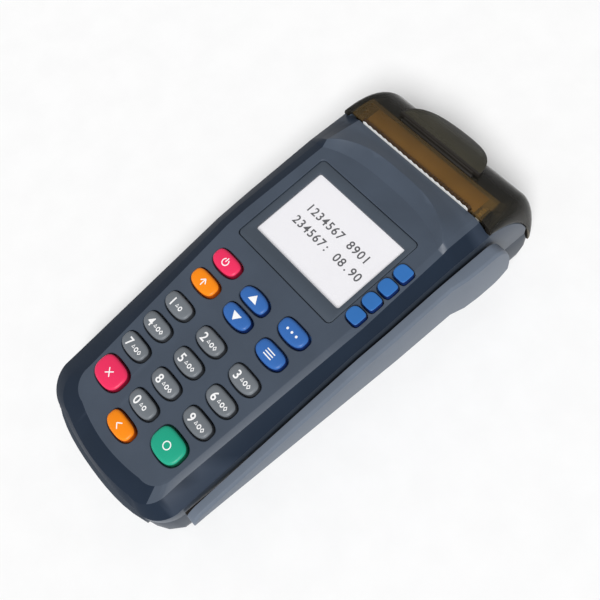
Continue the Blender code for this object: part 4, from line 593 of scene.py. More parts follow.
def rounded_rectangle(middle, half, corner, steps=RECESS_STEPS):
    """An outline with four round corners."""
    outline = []
    for quarter in range(4):
        sx = 1 if quarter in (0, 3) else -1
        sy = 1 if quarter in (0, 1) else -1
        for step in range(steps + 1):
            angle = (quarter + step / steps) * math.pi / 2
            u = middle[0] + sx * (half[0] - corner) + corner * math.cos(angle)
            v = middle[1] + sy * (half[1] - corner) + corner * math.sin(angle)
            outline.append((u, v))
    return outline


# Materials


def ranged(tree, source, low, high, start=0, end=1):
    """A value taken from one range, start to end, to another, low to high."""
    node = tree.nodes.new("ShaderNodeMapRange")
    node.inputs["From Min"].default_value = start
    node.inputs["From Max"].default_value = end
    node.inputs["To Min"].default_value = low
    node.inputs["To Max"].default_value = high
    tree.links.new(source, node.inputs["Value"])
    return node.outputs["Result"]


def noise(tree, place, scale, detail):
    """Cloudy noise over a piece."""
    node = tree.nodes.new("ShaderNodeTexNoise")
    node.inputs["Scale"].default_value = scale
    node.inputs["Detail"].default_value = detail
    tree.links.new(place, node.inputs["Vector"])
    return node.outputs["Fac"]


def worn_and_highlit(tree, source, colour, wear_and_highlight):
    """A base colour that is lighter along sharp edges: wear, and a painted highlight along ridges
    and creases.
    """
    edge = tree.nodes.new("ShaderNodeNewGeometry").outputs["Pointiness"]
    mix = tree.nodes.new("ShaderNodeMix")
    mix.data_type = "RGBA"
    mix.inputs["B"].default_value = [min(c * WEAR_HIGHLIGHT_GAIN + WEAR_HIGHLIGHT_LIFT, 1) for c in colour] + [1]
    tree.links.new(ranged(tree, edge, 0, wear_and_highlight, *WEAR_HIGHLIGHT_EDGE), mix.inputs["Factor"])
    tree.links.new(source, mix.inputs["A"])
    return mix.outputs["Result"]


def tint(
    name, colour, roughness, metallic=0, grain=0, depth=0, mottle=0, wear_and_highlight=0, spread=0, alpha=1
):
    """A moulded or metal finish: base colour with soft mottling, fine grain, and edges lightened
    by wear and a painted highlight.
    """
    made = bpy.data.materials.new(name)
    made.use_nodes = True
    tree = made.node_tree
    shader = tree.nodes["Principled BSDF"]
    shader.inputs["Metallic"].default_value = metallic
    shader.inputs["Alpha"].default_value = alpha
    shader.inputs["Specular IOR Level"].default_value = SHEEN
    place = tree.nodes.new("ShaderNodeTexCoord").outputs["Object"]
    clouds = noise(tree, place, MOTTLE_SCALE, MOTTLE_DETAIL)
    ramp = tree.nodes.new("ShaderNodeValToRGB")
    for element, side, position in zip(ramp.color_ramp.elements, (-1, 1), MOTTLE_ENDS):
        element.color = [min(channel * (1 + side * mottle), 1) for channel in colour] + [1]
        element.position = position
    tree.links.new(clouds, ramp.inputs["Fac"])
    seen = ramp.outputs["Color"]
    if wear_and_highlight:
        seen = worn_and_highlit(tree, seen, colour, wear_and_highlight)
    tree.links.new(seen, shader.inputs["Base Color"])
    if spread:
        rough = ranged(tree, clouds, roughness - spread, roughness + spread)
        tree.links.new(rough, shader.inputs["Roughness"])
    else:
        shader.inputs["Roughness"].default_value = roughness
    if grain:
        bump = tree.nodes.new("ShaderNodeBump")
        bump.inputs["Strength"].default_value = BUMP_STRENGTH
        bump.inputs["Distance"].default_value = depth
        tree.links.new(noise(tree, place, 1 / grain, GRAIN_DETAIL), bump.inputs["Height"])
        tree.links.new(bump.outputs["Normal"], shader.inputs["Normal"])
    made.diffuse_color = (*colour, alpha)
    return made


def key_tint(name, colour, roughness=KEY_ROUGH, mottle=KEY_MOTTLE, wear_and_highlight=0):
    """The finish of a key's top."""
    return tint(
        name, colour, roughness, 0, KEY_GRAIN, KEY_GRAIN_DEEP, mottle, wear_and_highlight, KEY_SPREAD
    )


def flank_shade_tint(name, colour):
    """A key's flanks painted darker than its top, as the shade in the gap round the key."""
    return tint(name, colour, FLANK_ROUGH, mottle=FLANK_MOTTLE)


def glowing(name, colour, strength, roughness):
    """A lit face: its own light over a faint base colour."""
    base = [channel * LIT_BASE_SHARE for channel in colour]
    made = tint(name, base, roughness, mottle=LIT_MOTTLE)
    shader = made.node_tree.nodes["Principled BSDF"]
    shader.inputs["Emission Color"].default_value = (*colour, 1)
    shader.inputs["Emission Strength"].default_value = strength
    return made


def smoked(name, colour, clear, share):
    """Clear tinted plastic: light passes with a tint, and a share of the surface is seen."""
    made = tint(
        name, colour, SMOKE_ROUGH, mottle=SMOKE_MOTTLE, spread=SMOKE_SPREAD, alpha=SMOKE_ALPHA
    )
    nodes, links = made.node_tree.nodes, made.node_tree.links
    shader = nodes["Principled BSDF"]
    shader.inputs["Alpha"].default_value = 1
    through = nodes.new("ShaderNodeBsdfTransparent")
    through.inputs["Color"].default_value = (*clear, 1)
    gloss = nodes.new("ShaderNodeFresnel")
    gloss.inputs["IOR"].default_value = SMOKE_BEND
    mix = nodes.new("ShaderNodeMixShader")
    links.new(ranged(made.node_tree, gloss.outputs["Fac"], share, 1), mix.inputs["Fac"])
    links.new(through.outputs["BSDF"], mix.inputs[1])
    links.new(shader.outputs["BSDF"], mix.inputs[2])
    links.new(mix.outputs["Shader"], nodes["Material Output"].inputs["Surface"])
    return made


# Name, colour, roughness, metal, grain, its depth, mottling, edge wear and painted highlight,
# spread of the roughness
COVER = tint("cover_plastic", (0.050, 0.065, 0.090), 0.38, 0, 0.0005, 0.000035, 0.06, 0.15, 0.04)
# Painted shade: the rim plastic is the cover's colour made much darker, with its reflection almost
# taken away, for the shade on the steep left and front rim and on the outer slope below the ridge.
RIM_SHADE = tint("rim_painted_shade", (0.014, 0.022, 0.037), 0.34, 0, 0.00045, 0.00001, 0.05, 0.5, 0.04)
RIM_SHADE.node_tree.nodes["Principled BSDF"].inputs["Specular IOR Level"].default_value = RIM_SHEEN
BASE = tint("base_plastic", (0.040, 0.050, 0.066), 0.45, 0, 0.00045, 0.000015, 0.05, 0.2, 0.04)
# Painted light in part: the rail is lighter than the cover, partly its own plastic and partly
# standing in for the side light on its outer wall.
RAIL = tint("rail_plastic", (0.125, 0.150, 0.190), 0.40, 0, 0.00045, 0.000012, 0.05, 0.2, 0.04)
BEZEL = tint("bezel_plastic", (0.052, 0.066, 0.086), 0.40, 0, 0.0005, 0.00001, 0.04, 0, 0.03)
KEY_GREY = key_tint("key_grey", (0.140, 0.155, 0.172), 0.38, 0.05, 0.15)
KEY_RED = key_tint("key_red", (0.74, 0.027, 0.102))
KEY_ORANGE = key_tint("key_orange", (0.84, 0.230, 0.006))
KEY_GREEN = key_tint("key_green", (0.013, 0.330, 0.205))
KEY_BLUE = key_tint("key_blue", (0.032, 0.125, 0.390))
SOFT_BLUE = key_tint("soft_blue", (0.030, 0.145, 0.420), 0.38)
INK = tint("legend_ink", (0.86, 0.86, 0.86), 0.5, mottle=0.02)
RUBBER = tint("foot_rubber", (0.03, 0.03, 0.032), 0.85, 0, 0.0004, 0.00003, 0.15)
MAT = tint("mat_rubber", (0.50, 0.51, 0.53), 0.75, 0, 0.0005, 0.00002, 0.06)
STEEL = tint("steel", (0.58, 0.58, 0.60), 0.32, 1, 0.0005, 0.00001, 0.08, 0, 0.08)
PLATED = tint("frame_metal", (0.50, 0.51, 0.52), 0.38, 0.9, 0.0009, 0.00001, 0.10, 0, 0.08)
BRASS = tint("gear_brass", (0.80, 0.62, 0.28), 0.30, 1, 0.0006, 0.00001, 0.08, 0, 0.06)
GEAR = tint("gear_plastic", (0.82, 0.81, 0.77), 0.45, 0, 0.0006, 0.00001, 0.04)
BLACK = tint("black_plastic", (0.035, 0.036, 0.040), 0.5, 0, 0.0005, 0.00002, 0.1)
WHITE = tint("white_plastic", (0.70, 0.71, 0.72), 0.45, 0, 0.0006, 0.00001, 0.04)
BOARD = tint("board_laminate", (0.015, 0.13, 0.05), 0.4, 0, 0.0008, 0.00001, 0.15)
CERAMIC = tint("head_ceramic", (0.55, 0.50, 0.40), 0.25, 0, 0.0008, 0.00001, 0.08)
PAPER = tint("paper", (0.90, 0.90, 0.885), 0.75, 0, 0.0003, 0.00001, 0.02)
TEAR = tint("tear_plastic", (0.050, 0.028, 0.014), 0.35, 0, 0.0006, 0.00001, 0.2)
AMBER = tint("inner_plastic", (0.86, 0.66, 0.30), 0.4, mottle=0.12)
# Painted shade: a darker copy of each key colour for the key's flanks, standing in for the shade
# in the gap round each key.
FLANK_SHADES = {
    KEY_GREY: flank_shade_tint("grey_flank_shade", (0.040, 0.044, 0.050)),
    KEY_RED: flank_shade_tint("red_flank_shade", (0.24, 0.006, 0.026)),
    KEY_ORANGE: flank_shade_tint("orange_flank_shade", (0.36, 0.060, 0.002)),
    KEY_GREEN: flank_shade_tint("green_flank_shade", (0.004, 0.085, 0.046)),
    KEY_BLUE: flank_shade_tint("blue_flank_shade", (0.006, 0.022, 0.110)),
    SOFT_BLUE: flank_shade_tint("soft_flank_shade", (0.005, 0.022, 0.120)),
}
FLOOR = tint("floor", (0.93, 0.93, 0.93), 0.6, mottle=0.01)
GLASS = tint("screen_glass", (0.9, 0.9, 0.92), 0.06, mottle=0.01, alpha=0.05)
SMOKE = smoked("lid_plastic", (0.040, 0.038, 0.032), (0.56, 0.51, 0.41), 0.30)
# Painted light: a lighter, clearer copy of the lid's smoke, used over the amber strip so that it
# looks lit through the lid.
SMOKE_LIT = smoked("lid_painted_light", (0.150, 0.100, 0.045), (0.78, 0.67, 0.46), 0.30)
LEVER = smoked("lever_plastic", (0.105, 0.100, 0.075), (0.70, 0.64, 0.50), 0.34)
# Painted shade: black for the inside of the swipe slot, the lid's edges and the lever's edges and
# underside.
SHADE_BLACK = tint("painted_shade_line", (0.012, 0.010, 0.008), 0.6, mottle=0.1)
LIT = glowing("lit_screen", (0.88, 0.87, 0.90), 0.45, 0.3)
SCREEN_INK = tint("screen_ink", (0.018, 0.018, 0.022), 0.6, mottle=0.02)


# Top cover


def ridge_half(y):
    """Half width of the ridge along the face."""
    if y < RIDGE_WIDE_Y:
        share = max((y - LAST_ROW_Y) / (RIDGE_WIDE_Y - LAST_ROW_Y), 0)
        return between(RIDGE_FRONT_HALF, RIDGE_WIDE_HALF, share)
    share = min((y - RIDGE_WIDE_Y) / (SLOT_Y - RIDGE_WIDE_Y), 1)
    return between(RIDGE_WIDE_HALF, RIDGE_REAR_HALF, share)


class Line:
    """A U shaped line round the case: down the right side, round the front, up the left side."""

    def __init__(self, half, front, corner, drops=(0, 0, 0), insets=(0, 0), level=None):
        right_drop, left_drop, self.front_drop = drops
        self.wide = half
        self.inset = {1: insets[0], -1: insets[1]}
        self.front = front
        self.corner = corner
        self.side_drop = {1: right_drop, -1: left_drop}
        self.level = level

    def half(self, y, side):
        """Half width of the line on one side."""
        return self.wide(y) - self.inset[side]

    def point(self, x, y, side, turned):
        """A point at its height; turned runs from 0 at the side to 1 at the front."""
        if self.level is not None:
            return Vector((x, y, self.level))
        weight = math.sin(turned * math.pi / 2) ** 2
        drop = between(self.side_drop[side], self.front_drop, weight)
        return Vector((x, y, face_height(y) - drop))

    def at_side(self, y, side):
        """A point on a straight side."""
        return self.point(side * self.half(y, side), y, side, 0)

    def at_corner(self, share, side):
        """A point on a front corner; share runs from its side to the front."""
        angle = share * math.pi / 2
        half = self.half(LAST_ROW_Y, side) - self.corner + self.corner * math.cos(angle)
        y = self.front + self.corner - self.corner * math.sin(angle)
        return self.point(side * half, y, side, share)

    def at_front(self, share):
        """A point on the bowed front; share runs from 1 on the right to -1 on the left."""
        side = 1 if share > 0 else -1
        half = self.half(LAST_ROW_Y, side) - self.corner
        y = self.front - FRONT_BOW * (1 - share * share)
        return self.point(share * half, y, side, 1)

    def around(self, rows):
        """All points, with the rows from rear to front."""
        corners = [step / CORNER_STEPS for step in range(1, CORNER_STEPS + 1)]
        columns = [1 - 2 * step / FACE_COLUMNS for step in range(1, FACE_COLUMNS)]
        line = [self.at_side(y, 1) for y in rows]
        line += [self.at_corner(share, 1) for share in corners]
        line += [self.at_front(share) for share in columns]
        line += [self.at_corner(share, -1) for share in reversed(corners)]
        line += [self.at_side(y, -1) for y in reversed(rows)]
        return line


RIDGE_FRONT = FRONT_Y + RIDGE_INSET
SEAM = Line(side_half, FRONT_Y, FRONT_CORNER, level=SEAM_UP)
SHOULDER = Line(side_half, FRONT_Y, FRONT_CORNER, (SIDE_DROP, SIDE_DROP, FRONT_DROP))
RIDGE_DROPS = (RIDGE_DROP_RIGHT, RIDGE_DROP_LEFT, RIDGE_DROP_FRONT)
RIDGE = Line(ridge_half, RIDGE_FRONT, RIDGE_CORNER, RIDGE_DROPS)
RIM_WIDTHS = (RIM_WIDE, RIM_WIDE + RIM_LEFT_MORE)
CREASE = Line(ridge_half, RIDGE_FRONT + RIM_FRONT, CREASE_CORNER, insets=RIM_WIDTHS)


def face_rows():
    """Each straight row across the face: y at its middle and at its sides, and its brow share."""
    rows = []
    for back in BROW_BACK_SHARES:
        middle = between(SLOT_Y, CREST_MIDDLE_Y, back)
        rise = back - CREST_SOFT_SHARE * back**CREST_POWER
        rows.append((middle, between(SLOT_Y, CREST_SIDE_Y, back), rise))
    for step in range(1, BROW_FRONT_STEPS + 1):
        front = step / BROW_FRONT_STEPS
        middle = between(CREST_MIDDLE_Y, FOOT_MIDDLE_Y, front)
        rise = (1 - CREST_SOFT_SHARE) * max(1 - front / BROW_RAMP_SHARE, 0)
        rows.append((middle, between(CREST_SIDE_Y, FOOT_SIDE_Y, front), rise))
    for step in range(1, SCREEN_STEPS + 1):
        share = (step / SCREEN_STEPS) ** SCREEN_STEP_POWER
        middle = between(FOOT_MIDDLE_Y, BEND_Y, share)
        rows.append((middle, between(FOOT_SIDE_Y, BEND_Y, share), 0))
    for step in range(1, KEYPAD_STEPS + 1):
        y = between(BEND_Y, LAST_ROW_Y, step / KEYPAD_STEPS)
        rows.append((y, y, 0))
    return rows


def brow_fade(x):
    """The brow's share of its full rise, lower toward the sides."""
    share = (abs(x) - BROW_FADE_X) / (RIDGE_WIDE_HALF - BROW_FADE_X)
    return 1 - BROW_FADE_SHARE * smooth_share(share)


def face_points():
    """The face as rows of points from left to right, from the paper slot to the front edge."""
    grid = []
    for middle, side_y, rise in face_rows():
        left = CREASE.at_side(side_y, -1)
        right = CREASE.at_side(side_y, 1)
        row = []
        for step in range(FACE_COLUMNS + 1):
            x = between(left.x, right.x, step / FACE_COLUMNS)
            out = abs(2 * step / FACE_COLUMNS - 1)
            y = between(side_y, middle, 1 - out**ROW_BEND_POWER)
            height = face_height(y) + BROW_RISE * rise * brow_fade(x)
            row.append(Vector((x, y, height)))
        grid.append(row)
    ends = {side: CREASE.at_corner(1, side).x for side in (1, -1)}
    for step in range(1, CORNER_STEPS + 1):
        share = step / CORNER_STEPS
        left = CREASE.at_corner(share, -1)
        right = CREASE.at_corner(share, 1)
        row = []
        for column in range(FACE_COLUMNS + 1):
            across = 2 * column / FACE_COLUMNS - 1
            x = across * (right.x if across > 0 else -left.x)
            inside = max(1 - (x / ends[1 if across > 0 else -1]) ** 2, 0)
            y = right.y - FRONT_BOW * share**2 * inside
            row.append(Vector((x, y, face_height(y))))
        grid.append(row)
    return grid


def cheek_height(y):
    """Height of the cheek's curved top edge."""
    out = min(abs(y - CHEEK_Y) / CHEEK_LONG, 1)
    return CHEEK_Z + CHEEK_TALL * math.sqrt(1 - out * out)


def edges_along(bm, line):
    """The edges that join a line's neighbours."""
    return [bm.edges.get(pair) for pair in zip(line, line[1:])]


def add_cheek(bm, shoulder, seam, side):
    """The side wall's rear part, up to its curved edge."""
    start = math.acos(min((SLOT_Y - CHEEK_Y) / CHEEK_LONG, 1))
    top, foot = [shoulder], [seam]
    for step in range(1, CHEEK_STEPS + 1):
        angle = start * (1 - step / CHEEK_STEPS) + CHEEK_END * step / CHEEK_STEPS
        y = CHEEK_Y + CHEEK_LONG * math.cos(angle)
        x = side * side_half(y)
        top.append(bm.verts.new((x, y, cheek_height(y))))
        foot.append(bm.verts.new((x, y, SEAM_UP)))
    if side > 0:
        add_strip(bm, top, foot)
    else:
        add_strip(bm, foot, top)


def cover_surface():
    """The top cover's outer surface, open below and at the paper slot."""
    bm = bmesh.new()
    grid = [[bm.verts.new(point) for point in row] for row in face_points()]
    for rear, front in zip(grid, grid[1:]):
        for step in range(FACE_COLUMNS):
            bm.faces.new((front[step], front[step + 1], rear[step + 1], rear[step]))
    crease = [row[-1] for row in grid] + grid[-1][-2:0:-1] + [row[0] for row in reversed(grid)]
    rows = [row[1] for row in face_rows()]
    lines = []
    for line in (RIDGE, SHOULDER, SEAM):
        lines.append([bm.verts.new(point) for point in line.around(rows)])
    ridge, shoulder, seam = lines
    lift = BROW_RISE * (1 - BROW_FADE_SHARE)
    for row, right, left in zip(face_rows(), ridge, reversed(ridge)):
        right.co.z += row[2] * lift
        left.co.z += row[2] * lift
    add_strip(bm, ridge, crease)
    # The outer slope below the ridge takes the rim's painted shade all round.
    add_strip(bm, shoulder, ridge, finish=SECOND)
    add_strip(bm, seam, shoulder)
    add_cheek(bm, shoulder[0], seam[0], 1)
    add_cheek(bm, shoulder[-1], seam[-1], -1)
    # The rim band on the left and along the front is painted dark as well, as shade; on the right
    # it keeps the face's colour.
    on_ridge = set(ridge)
    for face in bm.faces:
        if on_ridge.intersection(face.verts) and face.calc_center_median().x < RIM_SHADE_END_X:
            face.material_index = SECOND
    weight = bm.edges.layers.float.new("bevel_weight_edge")
    for line, share in ((crease, CREASE_SHARE), (ridge, 1), (shoulder, SHOULDER_SHARE)):
        for edge in edges_along(bm, line):
            edge[weight] = share
    return bm


# Keys


def key_outline(half, reach, powers, middle, more=(0, 0), share=1.0):
    """A key's outline, with its own roundness in each quarter, widened and scaled."""
    outline = []
    for step in range(KEY_SIDES):
        angle = step * math.tau / KEY_SIDES
        power = 2 / powers[len(powers) * step // KEY_SIDES]
        u = math.copysign(abs(math.cos(angle)) ** power, math.cos(angle))
        v = math.copysign(abs(math.sin(angle)) ** power, math.sin(angle))
        x = middle[0] + u * (half * share + more[0])
        outline.append((x, middle[1] + v * (reach * share + more[1])))
    return outline


def raised(outline, height):
    """An outline's points at a height."""
    return [(u, v, height) for u, v in outline]


SOFT_KEYS = 4
FLANGE_TOP = -WALL - GAP
FLANGE_LOW = FLANGE_TOP - KEY_FLANGE_THICK
NUMBER_POWERS = (3.4, 3.4, 2.4, 2.4)
UP_POWERS = (2.3, 2.3, 3.4, 3.4)
DOWN_POWERS = (3.4, 3.4, 2.3, 2.3)
BIG_POWERS = (3.2, 3.2, 2.5, 2.5)
SOFT_POWERS = (5.0, 2.6, 2.6, 5.0)
COLUMNS = 3
DIGITS = 9

# Name, column and row in key pitches, shape, finish and slot
DIGIT_KEYS = [
    (f"key_{index + 1}", index % COLUMNS - 1, -(index // COLUMNS), "number", KEY_GREY, "key_grey")
    for index in range(DIGITS)
]
KEYS = (
    ("key_power", -0.975, 2.18, "number", KEY_RED, "key_red"),
    ("key_shift", -0.99, 1.18, "number", KEY_ORANGE, "key_orange"),
    ("key_up", 0.0, 2.03, "up", KEY_BLUE, "key_blue"),
    ("key_down", 0.0, 1.20, "down", KEY_BLUE, "key_blue"),
    ("key_func", 1.0, 2.18, "number", KEY_BLUE, "key_blue"),
    ("key_menu", 1.0, 1.18, "number", KEY_BLUE, "key_blue"),
    *DIGIT_KEYS,
    ("key_0", 0.0, -3.0, "number", KEY_GREY, "key_grey"),
    ("key_cancel", -0.94, -3.18, "big", KEY_RED, "key_red"),
    ("key_clear", 0.0, -4.0, "number", KEY_ORANGE, "key_orange"),
    ("key_enter", 0.94, -3.18, "big", KEY_GREEN, "key_green"),
)
KEY_SHAPES = {
    "number": (NUMBER_HALF, NUMBER_REACH, NUMBER_POWERS),
    "up": (NUMBER_HALF, ARROW_REACH, UP_POWERS),
    "down": (NUMBER_HALF, ARROW_REACH, DOWN_POWERS),
    "big": (BIG_HALF, BIG_REACH, BIG_POWERS),
    "soft": (SOFT_HALF, SOFT_REACH, SOFT_POWERS),
}


def key_places():
    """Each key's name, place on its own face, shape, finish, slot and frame."""
    places = []
    for name, column, row, shape, finish, slot in KEYS:
        place = (KEYPAD_X + column * KEY_X, KEYPAD_S + row * KEY_S)
        places.append((name, place, shape, finish, slot, KEYPAD))
    for number in range(SOFT_KEYS):
        v = SOFT_MIDDLE + ((SOFT_KEYS - 1) / 2 - number) * SOFT_S
        name = f"soft_key_{number + 1}"
        places.append((name, (SOFT_X, v), "soft", SOFT_BLUE, "key_blue", SCREEN))
    return places


def crown(u, v, place, shape):
    """Height of a key's domed top; place is the key's middle."""
    half, reach, _ = KEY_SHAPES[shape]
    out = min(((u - place[0]) / half) ** 2 + ((v - place[1]) / reach) ** 2, 1)
    tall = SOFT_CROWN if shape == "soft" else KEY_CROWN
    return KEY_RISE + tall * (1 - out)


def key_rings(place, shape):
    """A key's outlines from its flange up over its rounded edge to its domed top."""
    half, reach, powers = KEY_SHAPES[shape]
    soft = shape == "soft"
    sunk = RIDGE_DROP_RIGHT if soft else 0
    side = 0 if soft else KEY_FLANGE
    rings = []
    for height, more in (
        (FLANGE_LOW - sunk, (KEY_FLANGE, side)),
        (FLANGE_TOP - sunk, (KEY_FLANGE, side)),
        (FLANGE_TOP - sunk, (0, -GAP if soft else 0)),
        (-GAP, (0, 0)),
    ):
        rings.append(raised(key_outline(half, reach, powers, place, more), height))
    radius = SOFT_ROUND if soft else KEY_ROUND
    for step in range(KEY_ROUND_STEPS + 1):
        angle = step / KEY_ROUND_STEPS * math.pi / 2
        inset = -radius * (1 - math.cos(angle))
        height = KEY_RISE - radius + radius * math.sin(angle)
        ring = []
        for u, v in key_outline(half, reach, powers, place, (inset, inset)):
            dome = crown(u, v, place, shape) - KEY_RISE
            ring.append((u, v, height + dome * math.sin(angle)))
        rings.append(ring)
    for step in range(1, KEY_CROWN_STEPS):
        share = 1 - step / KEY_CROWN_STEPS
        outline = key_outline(half - radius, reach - radius, powers, place, share=share)
        rings.append([(u, v, crown(u, v, place, shape)) for u, v in outline])
    return rings


def make_keys():
    """Pillowed keys with a flange below the face."""
    for name, place, shape, finish, slot, frame_of in key_places():
        key = loft(key_rings(place, shape), frame_of, name + "_cap")
        dress(smooth(key, KEY_SOFT_ANGLE), name, slot, finish, name)
        # The flanks take the darker copy: painted shade.
        key.data.materials.append(FLANK_SHADES[finish])
        up = frame_of.to_3x3().col[2]
        for face in key.data.polygons:
            if face.normal.dot(up) < FLANK_SHARE:
                face.material_index = SECOND


def key_holes():
    """Openings in the face with a small chamfer: the keypad's, the soft keys' and the screen's."""
    low = -WALL - RIDGE_DROP_RIGHT - OVERRUN
    levels = ((low, 0), (-HOLE_CHAMFER, 0), (OVERRUN, HOLE_CHAMFER + OVERRUN))
    tools = {"keypad": [], "screen": []}
    for _, place, shape, _, _, frame_of in key_places():
        half, reach, powers = KEY_SHAPES[shape]
        soft = shape == "soft"
        rings = []
        for height, more in levels:
            wide = (SOFT_HOLE_GAP if soft else KEY_GAP) + more
            rings.append(raised(key_outline(half, reach, powers, place, (wide, wide)), height))
        tools["screen" if soft else "keypad"].append(loft(rings, frame_of))
    middle = (0, RECESS_FRONT + RECESS_LONG / 2)
    rings = []
    for height, more in levels:
        half = (RECESS_HALF + more, RECESS_LONG / 2 + more)
        rings.append(raised(rounded_rectangle(middle, half, RECESS_CORNER + more), height))
    tools["screen"].append(loft(rings, SCREEN))
    return [joined(found) for found in tools.values()]


def make_top_cover():
    """The upper shell with every hole in its face."""
    cover = new_piece("top_shell", cover_surface(), ROOT, turned=True)
    # The second finish is the rim's painted shade.
    for finish in (COVER, RIM_SHADE):
        cover.data.materials.append(finish)
    thicken(cover, WALL)
    modifier = cover.modifiers.new("rim", "BEVEL")
    modifier.width = RIDGE_ROUND
    modifier.segments = RIM_STEPS
    modifier.limit_method = "WEIGHT"
    bake(cover)
    cut(cover, *key_holes())
    round_edges(cover, EDGE_ROUND, angle=COVER_EDGE_ANGLE)
    dress(smooth(cover, COVER_SOFT_ANGLE), "case", "cover_plastic", COVER, "top_cover")


# Swipe rail


def rail_section(y):
    """The rail's L shaped section: a floor and an outer wall, with the slot beside the case."""
    paddle = smooth_share((y - PADDLE_START_Y) / PADDLE_NOSE)
    inner = side_half(y) + SLOT_WIDE
    outer = inner + RAIL_THICK + PADDLE_OUT * paddle
    low = RAIL_LOW - PADDLE_DOWN * paddle
    floor = RAIL_LOW + RAIL_FLOOR
    top = face_height(min(y, RAIL_LEVEL_Y)) - SIDE_DROP
    entry = min((y - RAIL_FRONT_Y) / RAIL_ENTRY, 1)
    nose = max((y - RAIL_REAR_Y + PADDLE_NOSE) / PADDLE_NOSE, 0)
    edge_low = floor + RAIL_TOP_EDGE
    top = edge_low + (top - edge_low) * math.sqrt(1 - (1 - entry) ** 2)
    arch = between(NOSE_TALL_SHARE, 1, math.sqrt(1 - min(nose, 1) ** 2))
    top = between(low + 2 * RAIL_TOP_EDGE, top, arch)
    low = between(low, RAIL_LOW + RAIL_TOP_EDGE, nose * nose)
    edge = RAIL_TOP_EDGE
    return [
        (side_half(y) + GAP, y, low),
        (outer - edge, y, low),
        (outer, y, low + edge),
        (outer, y, top - edge),
        (outer - edge, y, top),
        (inner, y, top),
        (inner, y, floor),
        (side_half(y) + GAP, y, floor),
    ]


def make_rail():
    """The swipe rail, with a pocket for the magnetic head in its paddle."""
    turns = [step / RAIL_END_STEPS * math.pi / 2 for step in range(RAIL_END_STEPS + 1)]
    start = RAIL_FRONT_Y + RAIL_ENTRY
    end = RAIL_REAR_Y - PADDLE_NOSE
    rows = [RAIL_FRONT_Y + RAIL_ENTRY * (1 - math.cos(turn)) for turn in turns]
    rows += [between(start, end, step / RAIL_STEPS) for step in range(1, RAIL_STEPS)]
    rows += [end + PADDLE_NOSE * math.sin(turn) for turn in turns]
    rail = loft([rail_section(y) for y in rows], ROOT, "rail_shell")
    wall = SIDE_REAR_HALF + SLOT_WIDE
    reach = HEAD_LONG_HALF + GAP
    tall = HEAD_TALL_HALF + GAP
    low = (wall - SLOT_WIDE / 2, HEAD_Y - reach, HEAD_Z - tall)
    cut(rail, box(low, (wall + POCKET_DEEP, HEAD_Y + reach, HEAD_Z + tall)))
    round_edges(rail, RAIL_ROUND, RIM_STEPS, RAIL_EDGE_ANGLE)
    dress(smooth(rail, RAIL_SOFT_ANGLE), "case", "rail_plastic", RAIL, "swipe_rail")
    # The slot's inner wall and floor take the black painted shade, as the shade inside the narrow
    # slot.
    rail.data.materials.append(SHADE_BLACK)
    floor = RAIL_LOW + RAIL_FLOOR + GAP
    for face in rail.data.polygons:
        on_floor = face.normal.z > SLOT_SIDE_SHARE and face.center.z < floor
        if on_floor or face.normal.x < -SLOT_SIDE_SHARE:
            face.material_index = SECOND


# Lid


def lid_point(y):
    """A point on the lid's curved back, as (y, z), for a place behind its crown."""
    out = (y - LID_CROWN_Y) / (LID_REAR_Y - LID_CROWN_Y)
    share = (1 - out**LID_CURVE_POWER) ** (1 / LID_CURVE_POWER)
    return (y, LID_WAIST_Z + (LID_CROWN_Z - LID_WAIST_Z) * share)


def lid_normal(y):
    """The direction square to the lid's back, as (y, z)."""
    near, far = lid_point(y - SINK), lid_point(y + SINK)
    along = (far[0] - near[0], far[1] - near[1])
    length = math.hypot(*along)
    return (-along[1] / length, along[0] / length)


def lid_profile():
    """The lid's middle line from its front edge over the crown down to its lower rear edge."""
    points = []
    for share in LID_NOSE_SHARES:
        y = between(LID_CROWN_Y, LID_FRONT_Y, share)
        points.append((y, LID_CROWN_Z - LID_NOSE_DROP * share * share))
    long = LID_REAR_Y - LID_CROWN_Y
    tall = LID_CROWN_Z - LID_WAIST_Z
    power = 2 / LID_CURVE_POWER
    for step in range(LID_CURVE_STEPS + 1):
        angle = step / LID_CURVE_STEPS * math.pi / 2
        y = LID_CROWN_Y + long * math.sin(angle) ** power
        points.append((y, LID_WAIST_Z + tall * max(math.cos(angle), 0) ** power))
    for share in LID_SKIRT_SHARES:
        z = between(LID_WAIST_Z, LID_LOW_Z, share)
        points.append((LID_REAR_Y - LID_TUCK * share * share, z))
    return points


def lid_row(point, share):
    """Points across the lid: skirt, turn, back and mirrored, from right to left."""
    long = CHEEK_LONG + CHEEK_GAP
    tall = CHEEK_TALL + CHEEK_GAP
    angle = math.atan2((point[1] - CHEEK_Z) / tall, (point[0] - CHEEK_Y) / long)
    skirt = (CHEEK_Y + long * math.cos(angle), CHEEK_Z + tall * math.sin(angle))
    half = side_half(skirt[0])
    flat = half - between(LID_TURN_FRONT, LID_TURN_REAR, share)
    row = [Vector((half, *skirt))]
    for step in range(LID_TURN_STEPS + 1):
        turn = (1 - step / LID_TURN_STEPS) * math.pi / 2
        down = LID_TURN_SHARE * (1 - math.cos(turn))
        x = flat + (half - flat) * math.sin(turn)
        y = between(point[0], skirt[0], down)
        row.append(Vector((x, y, between(point[1], skirt[1], down))))
    for column in LID_COLUMN_SHARES:
        row.append(Vector((flat * column, *point)))
    mirrored = [Vector((-place.x, place.y, place.z)) for place in reversed(row[:-1])]
    return row + mirrored


def away(place, distance, angle):
    """A place at a distance and angle from another, in the plane of y and z."""
    return (place[0] + distance * math.cos(angle), place[1] + distance * math.sin(angle))


